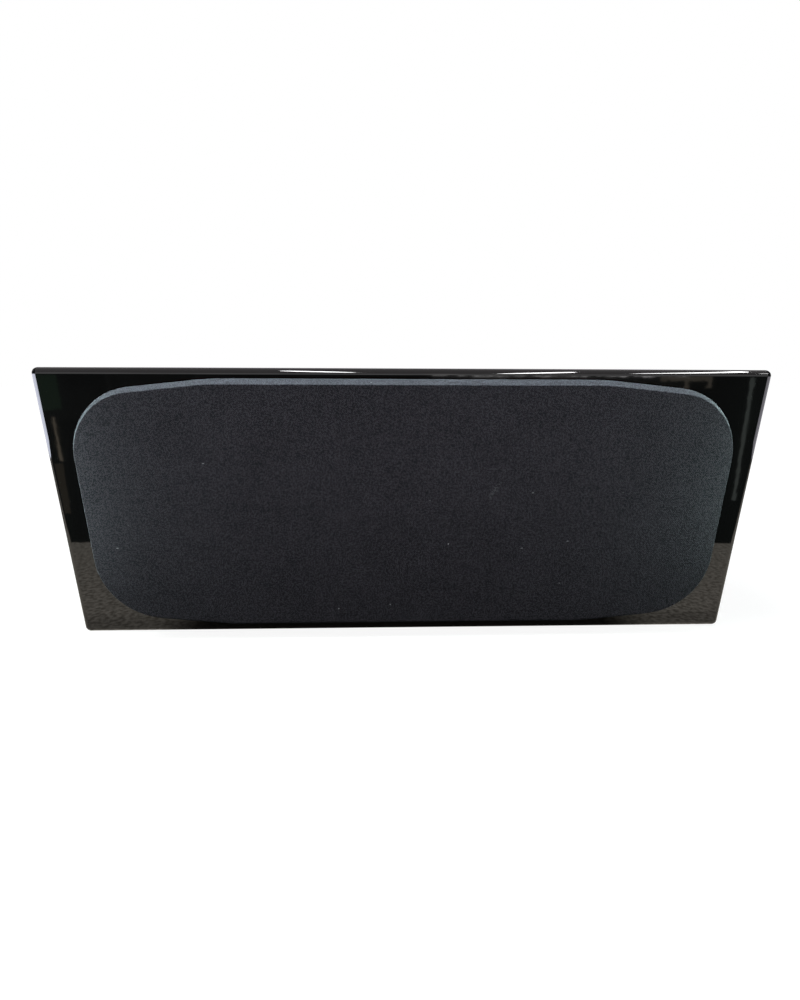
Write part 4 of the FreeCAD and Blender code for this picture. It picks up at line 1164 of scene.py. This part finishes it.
@dataclass
class Studio:
    """A pale floor, soft overhead light and the cards that the gloss mirrors."""

    shop: Paintshop
    floor_half: float = 6.0
    ambient: float = 0.05
    overhead: float = 3.3
    overhead_angle: float = 30.0
    overhead_tilt: Pair = (0.0, -32.0)
    room_half: float = 2.2
    room_height: float = 2.4
    band_low: float = 0.55
    band_high: float = 1.2
    lamp_height: float = 1.2
    lamp_steps: int = 48
    glow_x: float = 1.1
    glow_top: float = 0.24
    glow_stops: tuple[float, ...] = (-0.95, -0.40, 0.0, 0.35, 0.95)
    left_foot: float = 0.049
    left_glows: tuple[float, ...] = (13.5, 10.2, 5.2, 2.1, 0.3)
    left_hue: Colour = (0.82, 0.85, 1.0)
    right_foot: float = 0.05
    right_glows: tuple[float, ...] = (3.1, 2.3, 1.3, 0.6, 0.05)
    right_hue: Colour = (0.93, 0.90, 1.0)
    panels: tuple[Panel, ...] = (
        Panel(
            "front_bar", (0.0, -0.36, 0.21), (0.0, -0.15, 0.14),
            size=(0.9, 0.06), power=0.50, colour=(1.0, 0.98, 1.0),
        ),
        Panel(
            "left_strip", (-0.323, -0.19, 0.14), (-0.25, -0.16, 0.14),
            size=(0.02, 0.17), power=0.165, colour=(0.82, 1.0, 0.93),
        ),
        Panel(
            "right_strip", (0.328, -0.195, 0.15), (0.25, -0.16, 0.15),
            size=(0.02, 0.15), power=0.155, colour=(0.72, 1.0, 0.87),
        ),
        Panel(
            "top_bar", (-0.06, -0.168, 0.52), (-0.018, -0.15, 0.14),
            size=(0.80, 0.03), power=5.4, colour=(0.80, 0.98, 1.0),
        ),
        Panel(
            "rear_fill", (0.0, 1.1, 0.8), (0.0, 0.13, 0.12),
            size=(1.4, 0.7), power=12.0, colour=WHITE,
        ),
    )
    floor: Finish = PaleFloor((1.55, 1.44, 1.265), 1.0)
    dusk: Finish = Dusk((0.05, 0.053, 0.05), 1.0)
    upper: Finish = Glow((0.60, 0.56, 0.57), 1.0)
    band: Finish = Dusk((1.0, 0.99, 1.0), 1.0, band=(2.6, 2.5, 2.5), band_width=0.6)
    rear: Finish = Glow((0.32, 0.30, 0.32), 1.0)
    side: Finish = Glow((0.08, 0.08, 0.084), 1.0)
    lamp: Finish = Glow(WHITE, 1.0, 50.0)
    lamps: tuple[Lamp, ...] = (
        Lamp((-0.288, -0.44), (-0.129, -1.16), 0.05),
        Lamp((0.496, -0.49), (0.472, -1.70), 0.05),
        Lamp((0.925, -0.03), (0.832, -1.14), 0.05),
        Lamp((1.160, -0.55), (1.160, -0.90), 0.02),
    )
    glimpses: tuple[Glimpse, ...] = (
        Glimpse(
            -0.60, ((0.611, 0.009), (0.617, 0.009), (0.606, 0.221), (0.598, 0.221)),
            (0.58, 0.65, 0.61),
        ),
        Glimpse(
            -0.75, ((-0.668, 0.056), (-0.661, 0.056), (-0.661, 0.141), (-0.665, 0.141)),
            (1.20, 1.02, 0.78),
        ),
        Glimpse(
            -0.42, ((-0.476, 0.039), (-0.461, 0.039), (-0.458, 0.109), (-0.473, 0.109)),
            (0.27, 0.23, 0.17),
        ),
        Glimpse(-2.18, ((1.27, 0.182), (1.52, 0.182), (1.52, 0.205), (1.27, 0.205)), PALE_WOOD),
        Glimpse(-2.18, ((1.385, 0.141), (1.41, 0.141), (1.41, 0.182), (1.385, 0.182)), PALE_WOOD),
        Glimpse(-2.18, ((1.495, 0.151), (1.52, 0.151), (1.52, 0.182), (1.495, 0.182)), PALE_WOOD),
        Glimpse(-2.18, ((-1.66, 0.03), (-1.50, 0.05), (-1.50, 0.20), (-1.66, 0.20)), (0.11, 0.18, 0.12)),
        Glimpse(-2.18, ((0.20, 0.202), (1.41, 0.202), (1.41, 0.285), (0.20, 0.285)), (3.8, 3.7, 3.7)),
    )

    def card(self, name: str, middle: Vector, across: Vector, up: Vector, finish: Finish) -> None:
        """Hang a flat card that shows only in gloss.

        Args:
            name: The card's name.
            middle: Its middle.
            across: From the middle to one side.
            up: From the middle to the top.
            finish: What it shows.
        """
        foot, head = middle - up, middle + up
        corners = [foot - across, foot + across, head + across, head - across]
        self.only_in_gloss(flat_piece(name, corners, self.shop.mix(name, finish)))

    def only_in_gloss(self, thing: bpy.types.Object) -> None:
        """Leave a stage piece visible to glossy rays alone.

        Args:
            thing: The piece.
        """
        for rays in ("camera", "diffuse", "transmission", "shadow"):
            setattr(thing, f"visible_{rays}", False)

    def lay_floor(self) -> None:
        """Lay the floor under the cabinet."""
        half = self.floor_half
        corners = [Vector((x * half, y * half, 0)) for x, y in ((-1, -1), (1, -1), (1, 1), (-1, 1))]
        flat_piece("floor", corners, self.shop.mix("pale_floor", self.floor))

    def hang_cards(self) -> None:
        """Hang the cards of the room round the object, for its gloss to mirror."""
        half = self.room_half
        top = self.room_height
        wide = Vector((half, 0, 0))
        deep = Vector((0, half, 0))
        levels = (
            ("front_low", 0.0, self.band_low, self.dusk),
            ("front_band", self.band_low, self.band_high, self.band),
            ("front_high", self.band_high, top, self.upper),
        )
        for name, low, high, finish in levels:
            up = Vector((0, 0, (high - low) / 2))
            self.card(name, Vector((0, -half, (high + low) / 2)), wide, up, finish)
        tall = Vector((0, 0, top / 2))
        self.card("rear_card", Vector((0, half, top / 2)), wide, tall, self.rear)
        self.card("left_card", Vector((-half, 0, top / 2)), deep, tall, self.side)
        self.card("right_card", Vector((half, 0, top / 2)), deep, tall, self.side)
        self.card("ceiling_card", Vector((0, 0, top)), wide, deep, self.upper)

    def hang_side_glows(self) -> None:
        """Stand a row of low pale cards beside each end, to draw the lines along the upright edges."""
        rows = (
            ("left", -self.glow_x, self.left_foot, self.left_glows, self.left_hue),
            ("right", self.glow_x, self.right_foot, self.right_glows, self.right_hue),
        )
        for side, x, foot, levels, hue in rows:
            up = Vector((0, 0, (self.glow_top - foot) / 2))
            shades = [tuple(part * level for part in hue) for level in levels]
            for number, (start, stop) in enumerate(zip(self.glow_stops, self.glow_stops[1:])):
                middle = Vector((x, (start + stop) / 2, foot)) + up
                along = Vector((0, (stop - start) / 2, 0))
                finish = Slope(shades[number], 1.0, shades[number + 1], start, stop)
                self.card(f"{side}_glow_{number + 1}", middle, along, up, finish)

    def hang_glimpses(self) -> None:
        """Stand up the shapes of the room that the front mirrors."""
        for number, glimpse in enumerate(self.glimpses, start=1):
            corners = [Vector((x, glimpse.y, z)) for x, z in glimpse.corners]
            name = f"glimpse_{number}"
            self.only_in_gloss(flat_piece(name, corners, self.shop.mix(name, Glow(glimpse.colour, 1.0))))

    def hang_lamps(self) -> None:
        """Hang the long oval lamps that glint along the cabinet's upper edge."""
        for number, lamp in enumerate(self.lamps, start=1):
            first, last = Vector(lamp.start), Vector(lamp.stop)
            along = (last - first) / 2
            across = Vector((-along.y, along.x)).normalized() * lamp.half
            middle = (first + last) / 2
            angles = [2 * math.pi * step / self.lamp_steps for step in range(self.lamp_steps)]
            spots = [middle + along * math.cos(angle) + across * math.sin(angle) for angle in angles]
            rim = [Vector((*spot, self.lamp_height)) for spot in spots]
            self.only_in_gloss(flat_piece(f"lamp_{number}", rim, self.shop.mix("lamp", self.lamp)))

    def light_world(self) -> None:
        """Make the world white to the camera, in gloss and through glass, and dim for all else."""
        world = bpy.data.worlds.new("studio")
        bpy.context.scene.world = world
        world.use_nodes = True
        bench = Bench(world.node_tree)
        path = bench.add("LightPath", {}, {}, "Is Camera Ray")
        shown = path.most(path.other("Is Glossy Ray")).most(path.other("Is Transmission Ray"))
        level = shown * (1 - self.ambient) + self.ambient
        bench.add_output("OutputWorld", bench.add("Background", {}, {"Color": WHITE, "Strength": level}))

    def hang_overhead(self) -> None:
        """Hang the broad light above the object."""
        sun = bpy.data.lights.new("overhead", "SUN")
        sun.energy = self.overhead
        sun.angle = math.radians(self.overhead_angle)
        above = bpy.data.objects.new("overhead", sun)
        above.rotation_euler = [math.radians(angle) for angle in (*self.overhead_tilt, 0.0)]
        above.visible_glossy = False
        bpy.context.scene.collection.objects.link(above)

    def hang_panels(self) -> None:
        """Hang the soft lights in front of the object, at its ends, above it and behind it."""
        for panel in self.panels:
            lamp = bpy.data.lights.new(panel.name, "AREA")
            lamp.shape = "RECTANGLE"
            lamp.size, lamp.size_y = panel.size
            lamp.energy = panel.power
            lamp.color = panel.colour
            stand = bpy.data.objects.new(panel.name, lamp)
            back = (Vector(panel.place) - Vector(panel.target)).normalized()
            across = (Vector((1, 0, 0)) - back * back.x).normalized()
            turn = Matrix((across, back.cross(across), back)).transposed().to_4x4()
            stand.matrix_world = Matrix.Translation(panel.place) @ turn
            stand.visible_camera = False
            stand.visible_glossy = False
            bpy.context.scene.collection.objects.link(stand)

    def build(self) -> None:
        """Lay the floor, hang the cards and lamps, and light the scene."""
        self.lay_floor()
        self.hang_cards()
        self.hang_side_glows()
        self.hang_glimpses()
        self.hang_lamps()
        self.light_world()
        self.hang_overhead()
        self.hang_panels()
        bpy.context.scene.view_settings.view_transform = "Standard"
        LOG.info("set the studio")


def main() -> None:
    """Build the loudspeaker's sub-assemblies in order, then the studio."""
    logging.basicConfig(level=logging.INFO, format="%(name)s: %(message)s")
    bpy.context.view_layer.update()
    shop = Paintshop()
    Viewpoint().build()
    Cabinet().build(shop)
    Grille().build(shop)
    for prefix in ("woofer_left_", "woofer_right_", "midrange_"):
        ConeDriver(prefix).build(shop)
    Tweeter().build(shop)
    Terminals().build(shop)
    Crossover().build(shop)
    Studio(shop).build()


if __name__ == "__main__":
    main()
